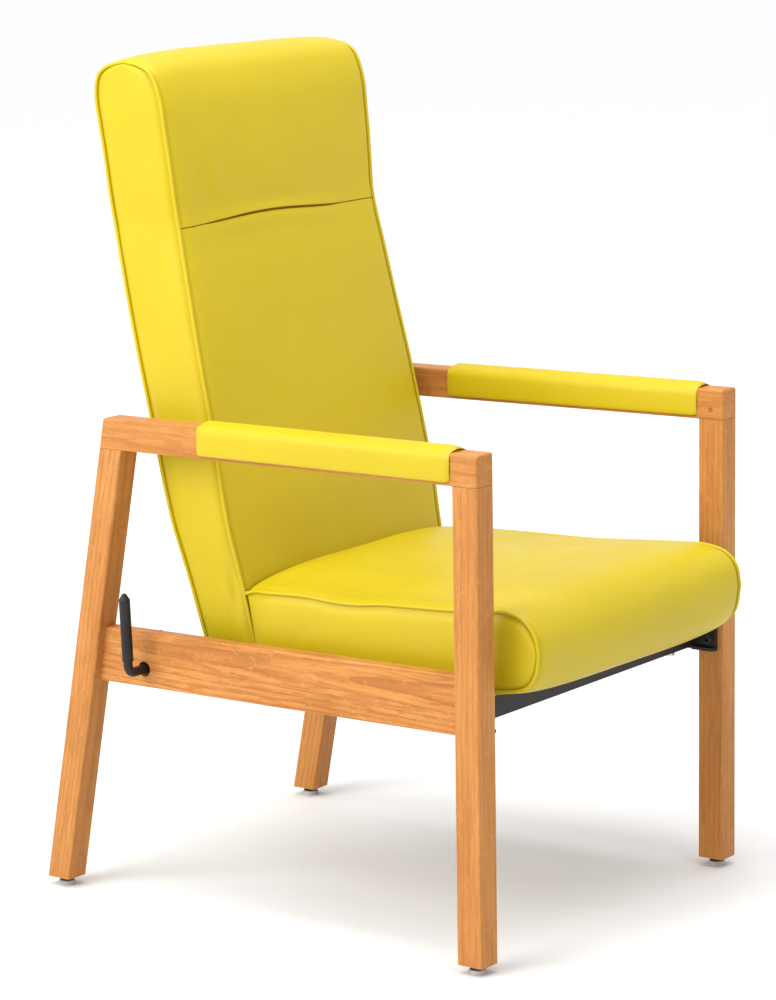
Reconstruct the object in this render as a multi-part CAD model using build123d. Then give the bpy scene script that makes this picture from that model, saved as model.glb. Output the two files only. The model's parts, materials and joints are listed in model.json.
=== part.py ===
from build123d import *
import math
import os

# High-backed recliner chair with wooden side frames and vinyl cushions. Millimetres.
# While modelling: x = 0 is the mid plane with the sitter's right at -X, y = 0 is the front of the
# front legs with +Y to the rear, z = 0 is the floor. At the end the whole chair is moved so that
# the origin lies on the floor at the centre of its footprint box.

# ---------------------------------------------------------------- side frames
HALF_WIDTH = 300.0  # outer face of a front leg
TOE_IN = 1.146  # each side frame closes towards the rear by this angle, degrees
LEG_WIDTH = 35.0
LEG_DEPTH = 38.0
LEG_BOTTOM = 12.0
ARM_TOP = 650.0
ARM_HEIGHT = 40.0
ARM_FALL = 8.0 / 600.0  # drop of the arm per mm towards the rear
REAR_LEG_TOP_Y = 563.0  # front face of the rear leg where it meets the arm
REAR_LEG_TOP_Z = 602.0
REAR_LEG_RAKE = 114.0 / 590.0  # rearward run per mm of drop
RAIL_TOP = 373.0
RAIL_BOTTOM = 298.0
RAIL_FALL_TOP = 10.0 / 600.0
RAIL_FALL_BOTTOM = 8.0 / 600.0
RAIL_RECESS = 13.5  # rail outer face behind the leg outer face
EDGE_ROUND = 3.5
RAIL_ROUND = 2.5  # long edges of a side rail
SMALL_ROUND = 1.2
LONG_EDGE = 300.0  # shorter edges than this are never the long ones of a leg or a rail
TENON_ROOT = 4.0  # depth of a tenon's root in its leg

TENON = (12.0, 22.0, 25.0)  # width in x, depth in y, height in z
TENON_Y = (19.0, 582.0)  # centres of the front and rear tenons
PEG_RADIUS = 3.5
PEG_LENGTH = 25.0
PEG_ABOVE_JOINT = 13.0
DOWEL_RADIUS = 5.0
DOWEL_LENGTH = 50.0
DOWEL_DROPS = (15.0, 41.0)  # dowel centres below the rail top
FIT = 0.05  # radial clearance of a shaft in its hole
JOINT_GAP = 0.1

# ---------------------------------------------------------------- arm pads
PAD_FRONT = 40.0
PAD_REAR = 435.0
PAD_SIDE = 2.0
PAD_TOP = 3.5
PAD_WOOD_STRIP = 5.0  # bare wood left below the pad
PAD_ROUND = 5.0
VINYL = 1.0

# ---------------------------------------------------------------- crossbars
BAR_DEPTH = 20.0
BAR_BOTTOM = 303.0
BAR_TOP = 338.0
BAR_WALL = 2.0
FRONT_BAR_Y = 42.0  # front face of each bar
REAR_BAR_Y = 352.0
END_PLATE = 4.0
END_PLATE_BOTTOM = 300.0
FRONT_PLATE_Y = (8.0, 86.0)
REAR_PLATE_Y = (298.0, 374.0)
LIP_LENGTH = 7.0
BAR_BOLTS_YZ = ((20.0, 314.7), (74.0, 320.0), (310.0, 320.0), (338.0, 320.0))
BOLT_RADIUS = 4.0
BOLT_HOLE_DEPTH = 28.0
BOLT_END_ROOM = 9.0  # a bolt ends this far short of its hole's end
BOLT_HEAD = (7.0, 4.5)
BOLT_HEAD_ROUND = 1.5
SOCKET_ACROSS = 5.0
SOCKET_FLOOR = 2.0
SEAT_BOLT_X = 218.0
SEAT_BOLT_RADIUS = 3.0
SEAT_BOLT_HEAD = (5.0, 4.3)  # inscribed radius, height
SEAT_WASHER = (8.0, 1.2)

# ---------------------------------------------------------------- seat
SEAT_HALF = 233.0
COVER = 1.2
BOARD = 12.0
BOARD_HALF = 228.0
BOARD_Y = (38.5, 397.0)
SEAT_MARGIN_Y = 38.0  # the cover is turned under the front edge as far as this
SEAT_TOP = 449.0
SEAT_TOP_Y = 22.0  # the highest point of the seat, behind the nose
SEAT_NOSE_YZ = (-40.0, 385.0)
SEAT_BROW_YZ = (-22.0, 438.0)
SEAT_CHIN_YZ = (-17.0, 350.0)
SEAT_CREST = ((205.0, 13.0), (398.0, 19.0))  # y and drop below the top, towards the rear
SEAT_REAR_LOW_Y = 400.5
SEAT_REAR_HIGH = (416.5, 414.0)  # the rear face leans back as the back cushion does
SEAT_SHOULDER = (411.5, 23.5)  # y and drop below the top

# ---------------------------------------------------------------- back
BACK_HALF = 221.0
BACK_BOTTOM = 342.0
BACK_FRONT_CURVE = (405.0, 0.2446, -0.000062)  # y at the bottom, slope and curvature
BACK_REAR_CURVE = (483.0, 0.3231, -0.000122)
BACK_SHOULDER = 1045.0  # where the front and rear faces run into the rounded top
BACK_TOP = 1093.0
BACK_CORNERS = (14.0, 11.0, 12.0)  # top rounding: front and rear run-in, drop below the top
HEAD_SEAM = 880.0
FRAME_INSET = 7.0  # timber frame behind the rear panel
PANEL = 4.0
PANEL_GAP = 0.5
PANEL_BOTTOM = 346.0
STILE_DEPTH = 22.0
STILE_X = (176.0, 206.0)
BOTTOM_RAIL_DEPTH = 42.0
BOTTOM_RAIL_Z = (344.0, 384.0)
MIDDLE_RAIL_Z = (640.0, 690.0)
TOP_RAIL_Z = (1000.0, 1045.0)

# ---------------------------------------------------------------- recline mechanism
PIVOT = (448.0, 328.0)  # y, z of the hinge pins
CLAMP = (545.5, 314.6)  # y, z of the lever shaft
RECLINE = 20.0  # degrees of travel
SLOT_END_ROOM = 0.2  # degrees of slot beyond each end of the travel
BRACKET_ROOT = (12.0, 305.0, 336.0)  # depth, bottom and top of a bracket's welded root
FIXED_X = (246.0, 250.0)  # hinge bracket, distances from the mid plane
FIBRE = 1.4
MOVING_X = (240.4, 244.4)  # hinge plate that carries the back
PIN_RADIUS = 5.0
PIN_BOSS = 15.0
PIN_HEAD = (8.0, 4.0)
PIN_END_X = 233.4
PIN_NUT = (8.0, 5.7)  # inscribed radius, thickness
PIVOT_WASHER_RADIUS = 12.0
CLAMP_FRICTION_RADIUS = 13.0
BUSH_RADIUS = 9.0
BUSH_COLLAR = (11.0, 3.0)  # radius, length
CLAMP_WASHER = (12.0, 2.0)  # radius, thickness
CLAMP_NUT = (9.5, 10.0)  # inscribed radius, thickness
MECHANISM_X = (-280.0, -200.0)  # a cut between these passes through every plate on the right
SHAFT_RADIUS = 6.0
SLOT_HALF = 6.4
SLOT_MARGIN = 5.0
RUN_GAP = 0.3  # between faces of different bodies
RAIL_HOLE_RADIUS = 10.0
FLANGE = 4.0
FLANGE_Y = (425.0, 476.0)
FLANGE_INNER_X = 188.0
SCREW_YX = ((447.0, 198.0), (464.0, 198.0))
SCREW_RADIUS = 2.5
SCREW_HEAD = (4.5, 2.5)
SCREW_LENGTH = 30.0

# ---------------------------------------------------------------- lever
LEVER_ELBOW_X = 306.5
LEVER_TIP_X = 311.0
LEVER_TIP_Z = 421.0
LEVER_BEND = 12.0
LEVER_INNER_X = 225.0
GRIP_RADIUS = 7.3
GRIP_START = 17.0  # along the upright from the elbow
GRIP_DOME = 8.0
GRIP_TIP_RADIUS = 2.4
GRIP_CAP = 9.5  # solid length at the tip
GRIP_TIP_ROUND = 1.5
ROD_END_GAP = 0.5  # between the rod's end and the sleeve's cap

# ---------------------------------------------------------------- glides
GLIDE_RADIUS = 11.0
GLIDE_DISC = 6.0
GLIDE_ROUND = 2.0
GLIDE_CHAMFER = 0.8
GLIDE_CUSHION_RADIUS = 9.0
NAIL_RADIUS = 2.5
NAIL_HEAD_Z = 3.0
NAIL_TOP = 38.0


# ================================================================ helpers
def block(xs, ys, zs):
    """Box from its two limits along each axis."""
    size = [abs(b - a) for a, b in (xs, ys, zs)]
    middle = [(a + b) / 2 for a, b in (xs, ys, zs)]
    return Pos(*middle) * Box(*size)


def slab(face, x_from, x_to):
    """Solid from a face drawn in (y, z), between two x positions."""
    low, high = sorted((x_from, x_to))
    return extrude(Plane.YZ.offset(low) * face, high - low)


def outline(*points):
    """Face bounded by straight lines."""
    return make_face(Polyline(*points, close=True))


def disc(centre, radius):
    return Pos(*centre) * Circle(radius)


def rod_x(centre_yz, radius, x_from, x_to):
    return slab(disc(centre_yz, radius), x_from, x_to)


def rod_y(x, z, radius, y_from, y_to):
    return Pos(x, (y_from + y_to) / 2, z) * Rot(90, 0, 0) * Cylinder(radius, y_to - y_from)


def rod_z(x, y, radius, z_from, z_to):
    return Pos(x, y, (z_from + z_to) / 2) * Cylinder(radius, z_to - z_from)


def hex_x(centre_yz, inner_radius, x_from, x_to):
    face = Pos(*centre_yz) * RegularPolygon(inner_radius, 6, major_radius=False)
    return slab(face, x_from, x_to)


def link(*faces):
    """Convex plate outline around several faces."""
    edges = [edge for face in faces for edge in face.edges()]
    return make_hull(edges)


def long_edges(part, longest):
    return part.edges().filter_by(lambda edge: edge.length > longest)


def toe(part):
    """Turns a part of the right side frame to its place."""
    corner = Pos(-HALF_WIDTH, 0, 0)
    return corner * Rot(0, 0, -TOE_IN) * Pos(HALF_WIDTH, 0, 0) * part


def other_side(part):
    return mirror(part, about=Plane.YZ)


def group(parts):
    return Compound(children=[Solid(p.solids()[0].wrapped) for p in parts])


def arm_top(y):
    return ARM_TOP - ARM_FALL * y


def arm_bottom(y):
    return arm_top(y) - ARM_HEIGHT


def rail_top(y):
    return RAIL_TOP - RAIL_FALL_TOP * y


def rail_bottom(y):
    return RAIL_BOTTOM - RAIL_FALL_BOTTOM * y


def rear_leg_front(z):
    """y of the raked rear leg's front face."""
    return REAR_LEG_TOP_Y + (REAR_LEG_TOP_Z - z) * REAR_LEG_RAKE


def meet_rear_leg(height, fall):
    """y where a line of that height at the front, falling rearwards, meets the rear leg."""
    level = REAR_LEG_TOP_Y + (REAR_LEG_TOP_Z - height) * REAR_LEG_RAKE
    return level / (1 - fall * REAR_LEG_RAKE)


def inner_face_x(y):
    """x of the right side frame's inner face, after the toe-in."""
    return INNER_X + y * math.tan(math.radians(TOE_IN))


def curve_y(curve, z):
    start, slope, bend = curve
    rise = z - BACK_BOTTOM
    return start + slope * rise + bend * rise**2


def back_front(z):
    """y of the back cushion's front face."""
    return curve_y(BACK_FRONT_CURVE, z)


def back_rear(z):
    """y of the back cushion's rear face."""
    return curve_y(BACK_REAR_CURVE, z)


OUTER_X = -HALF_WIDTH
INNER_X = -HALF_WIDTH + LEG_WIDTH
LEG_MID_X = (OUTER_X + INNER_X) / 2
RAIL_OUTER_X = OUTER_X + RAIL_RECESS
RAIL_MID_X = (RAIL_OUTER_X + INNER_X) / 2


# ================================================================ side frame, right
def peg_centre(tenon_y):
    return (tenon_y, arm_bottom(tenon_y) + PEG_ABOVE_JOINT)


def tenon(tenon_y, gap=0.0):
    width, depth, height = TENON
    base = arm_bottom(tenon_y) - TENON_ROOT
    return block(
        (LEG_MID_X - width / 2 - gap, LEG_MID_X + width / 2 + gap),
        (tenon_y - depth / 2 - gap, tenon_y + depth / 2 + gap),
        (base, base + TENON_ROOT + height + gap),
    )


def peg_hole(tenon_y):
    return rod_x(peg_centre(tenon_y), PEG_RADIUS + FIT, INNER_X + 1, INNER_X - PEG_LENGTH)


def dowel_places(y):
    return [(rail_top(y) - drop) for drop in DOWEL_DROPS]


def dowel_centres():
    """(y, z) of the middle of each dowel of one side frame."""
    front = [(LEG_DEPTH, z) for z in dowel_places(LEG_DEPTH)]
    rear = [(rear_leg_front(z), z) for z in dowel_places(620.0)]
    return front + rear


def dowel(centre, gap=0.0):
    y, z = centre
    half = DOWEL_LENGTH / 2 + gap
    return rod_y(RAIL_MID_X, z, DOWEL_RADIUS + gap, y - half, y + half)


def bolt_hole(centre_yz):
    return rod_x(centre_yz, BOLT_RADIUS + FIT, INNER_X + 1, INNER_X - BOLT_HOLE_DEPTH)


def nail_hole(y):
    return rod_z(LEG_MID_X, y, NAIL_RADIUS + FIT, 0, NAIL_TOP + 1)


def make_front_leg():
    face = outline(
        (0, LEG_BOTTOM),
        (LEG_DEPTH, LEG_BOTTOM),
        (LEG_DEPTH, arm_bottom(LEG_DEPTH)),
        (0, arm_bottom(0)),
    )
    leg = slab(face, OUTER_X, INNER_X)
    leg = fillet(long_edges(leg, LONG_EDGE), EDGE_ROUND)
    leg = leg + (tenon(TENON_Y[0]) - peg_hole(TENON_Y[0]))
    leg -= nail_hole(LEG_DEPTH / 2)
    leg -= bolt_hole(BAR_BOLTS_YZ[0])
    for centre in dowel_centres()[:2]:
        leg -= dowel(centre, FIT)
    return leg


def make_rear_leg():
    front_top = meet_rear_leg(ARM_TOP - ARM_HEIGHT, ARM_FALL)
    rear_top_y = front_top + LEG_DEPTH
    foot = rear_leg_front(LEG_BOTTOM)
    face = outline(
        (foot, LEG_BOTTOM),
        (foot + LEG_DEPTH, LEG_BOTTOM),
        (rear_top_y, arm_bottom(rear_top_y)),
        (front_top, arm_bottom(front_top)),
    )
    leg = slab(face, OUTER_X, INNER_X)
    leg = fillet(long_edges(leg, LONG_EDGE), EDGE_ROUND)
    leg = leg + (tenon(TENON_Y[1]) - peg_hole(TENON_Y[1]))
    leg -= nail_hole(foot + LEG_DEPTH / 2)
    for centre in dowel_centres()[2:]:
        leg -= dowel(centre, FIT)
    return leg


def is_end_edge(edge):
    """True for an upper edge that crosses the end of an arm rail."""
    crosses = LEG_WIDTH - 5 < edge.length < ARM_HEIGHT + 10
    return crosses and edge.center().Z > arm_bottom(0) + 5


def make_arm_rail():
    rear_y = meet_rear_leg(ARM_TOP - ARM_HEIGHT, ARM_FALL) + LEG_DEPTH
    rear_top = rear_y - ARM_HEIGHT * REAR_LEG_RAKE
    face = outline(
        (0, arm_bottom(0)),
        (rear_y, arm_bottom(rear_y)),
        (rear_top, arm_top(rear_top)),
        (0, arm_top(0)),
    )
    rail = slab(face, OUTER_X, INNER_X)
    ends = rail.edges().filter_by(is_end_edge)
    tops = long_edges(rail, LONG_EDGE).sort_by(Axis.Z)[2:]
    rail = fillet(list(ends) + list(tops), EDGE_ROUND)
    rail = fillet(long_edges(rail, LONG_EDGE).sort_by(Axis.Z)[:2], SMALL_ROUND)
    for y in TENON_Y:
        rail -= tenon(y, JOINT_GAP) + peg_hole(y)
    return rail


def make_side_rail(with_lever_hole):
    rear_low = meet_rear_leg(RAIL_BOTTOM, RAIL_FALL_BOTTOM)
    rear_high = meet_rear_leg(RAIL_TOP, RAIL_FALL_TOP)
    face = outline(
        (LEG_DEPTH, rail_bottom(LEG_DEPTH)),
        (rear_low, rail_bottom(rear_low)),
        (rear_high, rail_top(rear_high)),
        (LEG_DEPTH, rail_top(LEG_DEPTH)),
    )
    rail = slab(face, RAIL_OUTER_X, INNER_X)
    rail = fillet(long_edges(rail, LONG_EDGE), RAIL_ROUND)
    for centre in dowel_centres():
        rail -= dowel(centre, FIT)
    for centre in BAR_BOLTS_YZ[1:]:
        rail -= rod_x(centre, BOLT_RADIUS + FIT, INNER_X + 1, RAIL_OUTER_X + 2)
    if with_lever_hole:
        rail -= rod_x(CLAMP, RAIL_HOLE_RADIUS, INNER_X + 1, RAIL_OUTER_X - 1)
    return rail


def make_peg(tenon_y):
    return rod_x(peg_centre(tenon_y), PEG_RADIUS, INNER_X, INNER_X - PEG_LENGTH + 1)


# ================================================================ arm pads, right
def pad_block(side, top, end, below):
    """Solid block of the pad's outer shape before the rail is taken out of it."""
    face = outline(
        (PAD_FRONT + end, arm_bottom(PAD_FRONT) + below),
        (PAD_REAR - end, arm_bottom(PAD_REAR) + below),
        (PAD_REAR - end, arm_top(PAD_REAR) + top),
        (PAD_FRONT + end, arm_top(PAD_FRONT) + top),
    )
    body = slab(face, OUTER_X - side, INNER_X + side)
    tops = long_edges(body, LONG_EDGE).sort_by(Axis.Z)[2:]
    return fillet(tops, PAD_ROUND)


def arm_core():
    """The rail's full section along the pad, for cutting."""
    face = outline(
        (PAD_FRONT - 10, arm_bottom(PAD_FRONT - 10) - 5),
        (PAD_REAR + 10, arm_bottom(PAD_REAR + 10) - 5),
        (PAD_REAR + 10, arm_top(PAD_REAR + 10)),
        (PAD_FRONT - 10, arm_top(PAD_FRONT - 10)),
    )
    return slab(face, OUTER_X, INNER_X)


def make_arm_foam():
    return pad_block(PAD_SIDE, PAD_TOP, VINYL, PAD_WOOD_STRIP) - arm_core()


def make_arm_cover():
    outer = pad_block(PAD_SIDE + VINYL, PAD_TOP + VINYL, 0.0, PAD_WOOD_STRIP - VINYL)
    return outer - pad_block(PAD_SIDE, PAD_TOP, VINYL, PAD_WOOD_STRIP) - arm_core()


# ================================================================ crossbars
def end_plate(y_limits, bolts):
    """Plate against the inner face of the right side frame."""
    plate = block((INNER_X, INNER_X + END_PLATE), y_limits, (END_PLATE_BOTTOM, BAR_TOP))
    for centre in bolts:
        plate -= rod_x(centre, BOLT_RADIUS + FIT, INNER_X - 1, INNER_X + END_PLATE + 1)
    return plate


def bar_tube(front_y):
    """Rectangular tube across the chair, with the seat bolt holes."""
    middle_y = front_y + BAR_DEPTH / 2
    reach = -inner_face_x(middle_y) - END_PLATE / 2
    ys = (front_y, front_y + BAR_DEPTH)
    tube = block((-reach, reach), ys, (BAR_BOTTOM, BAR_TOP))
    inner_ys = (ys[0] + BAR_WALL, ys[1] - BAR_WALL)
    inner_zs = (BAR_BOTTOM + BAR_WALL, BAR_TOP - BAR_WALL)
    tube -= block((-reach - 1, reach + 1), inner_ys, inner_zs)
    for x in (-SEAT_BOLT_X, SEAT_BOLT_X):
        tube -= rod_z(x, middle_y, SEAT_BOLT_RADIUS + FIT, BAR_BOTTOM - 1, BAR_TOP + 1)
    return tube


def make_crossbar(front_y, plate_ys, bolts, with_lip):
    plate = end_plate(plate_ys, bolts)
    if with_lip:
        lip_x = (INNER_X + END_PLATE, INNER_X + END_PLATE + LIP_LENGTH)
        lip_y = (plate_ys[0], FRONT_BAR_Y - 0.5)
        plate += block(lip_x, lip_y, (END_PLATE_BOTTOM, END_PLATE_BOTTOM + END_PLATE))
    plate = toe(plate)
    return bar_tube(front_y) + plate + other_side(plate)


def make_bar_bolt(centre_yz):
    head_radius, head_height = BOLT_HEAD
    face_x = INNER_X + END_PLATE
    bolt = rod_x(centre_yz, BOLT_RADIUS, face_x, INNER_X - BOLT_HOLE_DEPTH + BOLT_END_ROOM)
    head = rod_x(centre_yz, head_radius, face_x, face_x + head_height)
    head = fillet(head.edges().sort_by(Axis.X)[-1], BOLT_HEAD_ROUND)
    socket_x = (face_x + SOCKET_FLOOR, face_x + head_height + 1)
    socket = hex_x(centre_yz, SOCKET_ACROSS / 2, *socket_x)
    return bolt + head - socket


def make_seat_bolt(x, y):
    head_radius, head_height = SEAT_BOLT_HEAD
    under = BAR_BOTTOM - SEAT_WASHER[1]
    hexagon = RegularPolygon(head_radius, 6, major_radius=False)
    head = extrude(Plane.XY.offset(under - head_height) * hexagon, head_height)
    shank = rod_z(0, 0, SEAT_BOLT_RADIUS, under, BAR_TOP + BOARD - 2)
    return Pos(x, y, 0) * (head + shank)


def make_seat_washer(x, y):
    radius, thick = SEAT_WASHER
    ring = rod_z(x, y, radius, BAR_BOTTOM - thick, BAR_BOTTOM)
    return ring - rod_z(x, y, SEAT_BOLT_RADIUS + FIT, 0, BAR_TOP)


# ================================================================ seat
def seat_face(inset=0.0):
    """Side outline of the seat cushion in (y, z), moved inwards by the inset."""
    bottom = BAR_TOP - COVER + inset
    top = SEAT_TOP - inset
    up_nose, along_top = (-0.1, 1), (1, -0.05)
    rear_low = (SEAT_REAR_LOW_Y - inset, bottom)
    rear_high = (SEAT_REAR_HIGH[0] - inset, SEAT_REAR_HIGH[1])
    underside = Line(rear_low, (SEAT_MARGIN_Y, bottom))
    nose = (SEAT_NOSE_YZ[0] + inset, SEAT_NOSE_YZ[1])
    chin_mid = (SEAT_CHIN_YZ[0] + inset, SEAT_CHIN_YZ[1] + inset)
    chin = Spline((SEAT_MARGIN_Y, bottom), chin_mid, nose, tangents=((-1, 0), up_nose))
    brow_mid = (SEAT_BROW_YZ[0] + inset, SEAT_BROW_YZ[1] - inset)
    brow_end = (SEAT_TOP_Y, top)
    brow = Spline(nose, brow_mid, brow_end, tangents=(up_nose, along_top))
    crest_mid, crest_end = [(y, top - drop) for y, drop in SEAT_CREST]
    crest = Spline(brow_end, crest_mid, crest_end, tangents=(along_top, (1, 0)))
    shoulder_mid = (SEAT_SHOULDER[0] - inset / 2, top - SEAT_SHOULDER[1])
    shoulder = ThreePointArc(crest_end, shoulder_mid, rear_high)
    return make_face([underside, chin, brow, crest, shoulder, Line(rear_high, rear_low)])


def seat_board_block(grow=0.0):
    xs = (-BOARD_HALF - grow, BOARD_HALF + grow)
    ys = (BOARD_Y[0] - grow, BOARD_Y[1] + grow)
    return block(xs, ys, (BAR_TOP, BAR_TOP + BOARD + grow))


def seat_bolt_places():
    return [
        (x, y + BAR_DEPTH / 2)
        for y in (FRONT_BAR_Y, REAR_BAR_Y)
        for x in (-SEAT_BOLT_X, SEAT_BOLT_X)
    ]


def make_seat_board():
    board = seat_board_block()
    for x, y in seat_bolt_places():
        board -= rod_z(x, y, SEAT_BOLT_RADIUS + FIT, BAR_TOP - 1, BAR_TOP + BOARD + 1)
    return board


def seat_inner():
    return slab(seat_face(COVER), -SEAT_HALF + COVER, SEAT_HALF - COVER)


def make_seat_foam():
    return seat_inner() - seat_board_block(JOINT_GAP)


def make_seat_cover():
    """Skin of the seat, open underneath except for the margin below the front edge."""
    outer = slab(seat_face(), -SEAT_HALF, SEAT_HALF)
    wide = SEAT_HALF + 1
    opening_y = (SEAT_MARGIN_Y, SEAT_REAR_HIGH[0] + 1)
    opening = block((-wide, wide), opening_y, (BAR_TOP - 3 * COVER, BAR_TOP))
    return outer - seat_inner() - opening


# ================================================================ back
def heights_between(low, high, steps=4):
    return [low + step * (high - low) / steps for step in range(steps + 1)]


def back_face(inset=0.0):
    """Side outline of the back cushion in (y, z), moved inwards by the inset."""
    heights = heights_between(BACK_BOTTOM + inset, BACK_SHOULDER)
    front_points = [(back_front(z) + inset, z) for z in heights]
    rear_points = [(back_rear(z) - inset, z) for z in reversed(heights)]
    front_y, rear_y = front_points[-1][0], rear_points[0][0]
    crown = ((front_y + rear_y) / 2, BACK_TOP - inset)
    front_in, rear_in, drop = BACK_CORNERS
    corner_z = BACK_TOP - drop - inset / 2
    over_front = ThreePointArc(front_points[-1], (front_y + front_in, corner_z), crown)
    over_rear = ThreePointArc(crown, (rear_y - rear_in, corner_z), rear_points[0])
    base = Line(rear_points[-1], front_points[0])
    edges = [Spline(*front_points), over_front, over_rear, Spline(*rear_points), base]
    return make_face(edges)


def timber_face(depth_from, depth_to, z_from, z_to):
    """Strip of the side outline that follows the rear face between two depths below it."""
    heights = heights_between(z_from, z_to)
    far = [(back_rear(z) - depth_from, z) for z in heights]
    near = [(back_rear(z) - depth_to, z) for z in reversed(heights)]
    sides = [Line(far[-1], near[0]), Line(near[-1], far[0])]
    return make_face([Spline(*far), Spline(*near)] + sides)


def make_stile():
    face = timber_face(FRAME_INSET, FRAME_INSET + STILE_DEPTH, BOTTOM_RAIL_Z[1], BACK_SHOULDER)
    return slab(face, -STILE_X[1], -STILE_X[0])


def screw_hole(x, y):
    return rod_z(x, y, SCREW_RADIUS + FIT, 0, BACK_BOTTOM - FLANGE + SCREW_LENGTH + 1)


def screw_places():
    return [(side * x, y) for side in (-1, 1) for y, x in SCREW_YX]


def make_back_rail(z_limits, depth, half):
    face = timber_face(FRAME_INSET, FRAME_INSET + depth, *z_limits)
    rail = slab(face, -half, half)
    if z_limits == BOTTOM_RAIL_Z:
        for x, y in screw_places():
            rail -= screw_hole(x, y)
    return rail


def make_back_panel():
    near = FRAME_INSET - PANEL_GAP
    face = timber_face(near - PANEL, near, PANEL_BOTTOM, BACK_SHOULDER)
    return slab(face, -STILE_X[1], STILE_X[1])


def back_inner():
    return slab(back_face(COVER), -BACK_HALF + COVER, BACK_HALF - COVER)


def make_back_cover():
    cover = slab(back_face(), -BACK_HALF, BACK_HALF) - back_inner()
    for x, y in screw_places():
        cover -= screw_hole(x, y)
    return cover


def timber_room(depth, z_from, z_to):
    """Everything behind one depth below the rear face, between two heights."""
    face = timber_face(-FRAME_INSET, depth + JOINT_GAP, z_from, z_to)
    return slab(face, -HALF_WIDTH, HALF_WIDTH)


def make_back_foam():
    """The main cushion, in front of the timber frame."""
    below_seam = block((-HALF_WIDTH, HALF_WIDTH), (300.0, 800.0), (BACK_BOTTOM, HEAD_SEAM))
    foam = back_inner() & below_seam
    foam -= timber_room(FRAME_INSET + STILE_DEPTH, BACK_BOTTOM - 10, HEAD_SEAM + 10)
    rail_top_z = BOTTOM_RAIL_Z[1] + JOINT_GAP
    foam -= timber_room(FRAME_INSET + BOTTOM_RAIL_DEPTH, BACK_BOTTOM - 10, rail_top_z)
    return foam


def make_head_foam():
    """The head cushion, which also caps the top of the timber frame."""
    above_seam = block((-HALF_WIDTH, HALF_WIDTH), (300.0, 800.0), (HEAD_SEAM + JOINT_GAP, BACK_TOP))
    room = timber_room(FRAME_INSET + STILE_DEPTH, HEAD_SEAM - 10, BACK_SHOULDER + JOINT_GAP)
    return (back_inner() & above_seam) - room


# ================================================================ recline mechanism
def about_pivot(angle):
    """(y, z) on the slot's centre line; angle 0 is the lever shaft's place at rest."""
    dy, dz = CLAMP[0] - PIVOT[0], CLAMP[1] - PIVOT[1]
    turn = math.radians(angle)
    y = PIVOT[0] + dy * math.cos(turn) - dz * math.sin(turn)
    z = PIVOT[1] + dy * math.sin(turn) + dz * math.cos(turn)
    return (y, z)


def slot_face(half):
    radius = math.dist(PIVOT, CLAMP)
    start = math.degrees(math.atan2(CLAMP[1] - PIVOT[1], CLAMP[0] - PIVOT[0]))
    arc = CenterArc(PIVOT, radius, start - SLOT_END_ROOM, RECLINE + 2 * SLOT_END_ROOM)
    return SlotArc(arc, 2 * half)


def make_hinge_bracket(with_clamp):
    """Fixed plate welded to the rear crossbar, right side."""
    root_y = REAR_BAR_Y + BAR_DEPTH + JOINT_GAP
    depth, low, high = BRACKET_ROOT
    root_end = root_y + depth
    root = outline((root_y, low), (root_end, low), (root_end, high), (root_y, high))
    face = link(root, disc(PIVOT, PIN_BOSS))
    if with_clamp:
        face = face + link(disc(PIVOT, PIN_BOSS), disc(CLAMP, PIN_BOSS))
    plate = slab(face, -FIXED_X[1], -FIXED_X[0])
    plate -= rod_x(PIVOT, PIN_RADIUS + FIT, *MECHANISM_X)
    if with_clamp:
        plate -= rod_x(CLAMP, BUSH_RADIUS + FIT, *MECHANISM_X)
    return plate


def make_hinge_plate(with_quadrant):
    """Moving plate under the back cushion, right side."""
    tab_low = BACK_BOTTOM - 2 * FLANGE
    low = [(y, tab_low) for y in FLANGE_Y]
    high = [(y, BACK_BOTTOM) for y in reversed(FLANGE_Y)]
    face = link(outline(*low, *high), disc(PIVOT, PIN_BOSS))
    if with_quadrant:
        rim = SLOT_HALF + SLOT_MARGIN
        ends = [disc(about_pivot(angle), rim) for angle in (0, RECLINE)]
        face = face + link(disc(PIVOT, PIN_BOSS), *ends) - slot_face(SLOT_HALF)
    plate = slab(face, -MOVING_X[1], -MOVING_X[0])
    plate -= rod_x(PIVOT, PIN_RADIUS + FIT, *MECHANISM_X)
    flange_z = (BACK_BOTTOM - FLANGE, BACK_BOTTOM)
    plate += block((-MOVING_X[1], -FLANGE_INNER_X), FLANGE_Y, flange_z)
    for y, x in SCREW_YX:
        plate -= screw_hole(-x, y)
    return plate


def make_plate_screw(x, y):
    head_radius, head_height = SCREW_HEAD
    under = BACK_BOTTOM - FLANGE
    screw = rod_z(x, y, SCREW_RADIUS, under, under + SCREW_LENGTH)
    return screw + rod_z(x, y, head_radius, under - head_height, under)


def make_hinge_pin():
    head_radius, head_height = PIN_HEAD
    head = rod_x(PIVOT, head_radius, -FIXED_X[1], -FIXED_X[1] - head_height)
    return head + rod_x(PIVOT, PIN_RADIUS, -FIXED_X[1], -PIN_END_X)


def make_pin_nut():
    radius, thick = PIN_NUT
    face_x = -MOVING_X[0] + RUN_GAP
    return hex_x(PIVOT, radius, face_x, face_x + thick) - rod_x(PIVOT, PIN_RADIUS + FIT, *MECHANISM_X)


def ring_x(centre, inner, outer, x_from, x_to):
    return rod_x(centre, outer, x_from, x_to) - rod_x(centre, inner, *MECHANISM_X)


def make_clamp_bush():
    collar_radius, collar_length = BUSH_COLLAR
    body = rod_x(CLAMP, BUSH_RADIUS, -FIXED_X[1], -FIXED_X[0])
    collar = rod_x(CLAMP, collar_radius, -FIXED_X[1] - collar_length, -FIXED_X[1])
    return body + collar - rod_x(CLAMP, SHAFT_RADIUS + FIT, *MECHANISM_X)


def make_clamp_washer():
    radius, thick = CLAMP_WASHER
    face_x = -MOVING_X[0] + RUN_GAP
    return ring_x(CLAMP, SHAFT_RADIUS + FIT, radius, face_x, face_x + thick)


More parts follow.
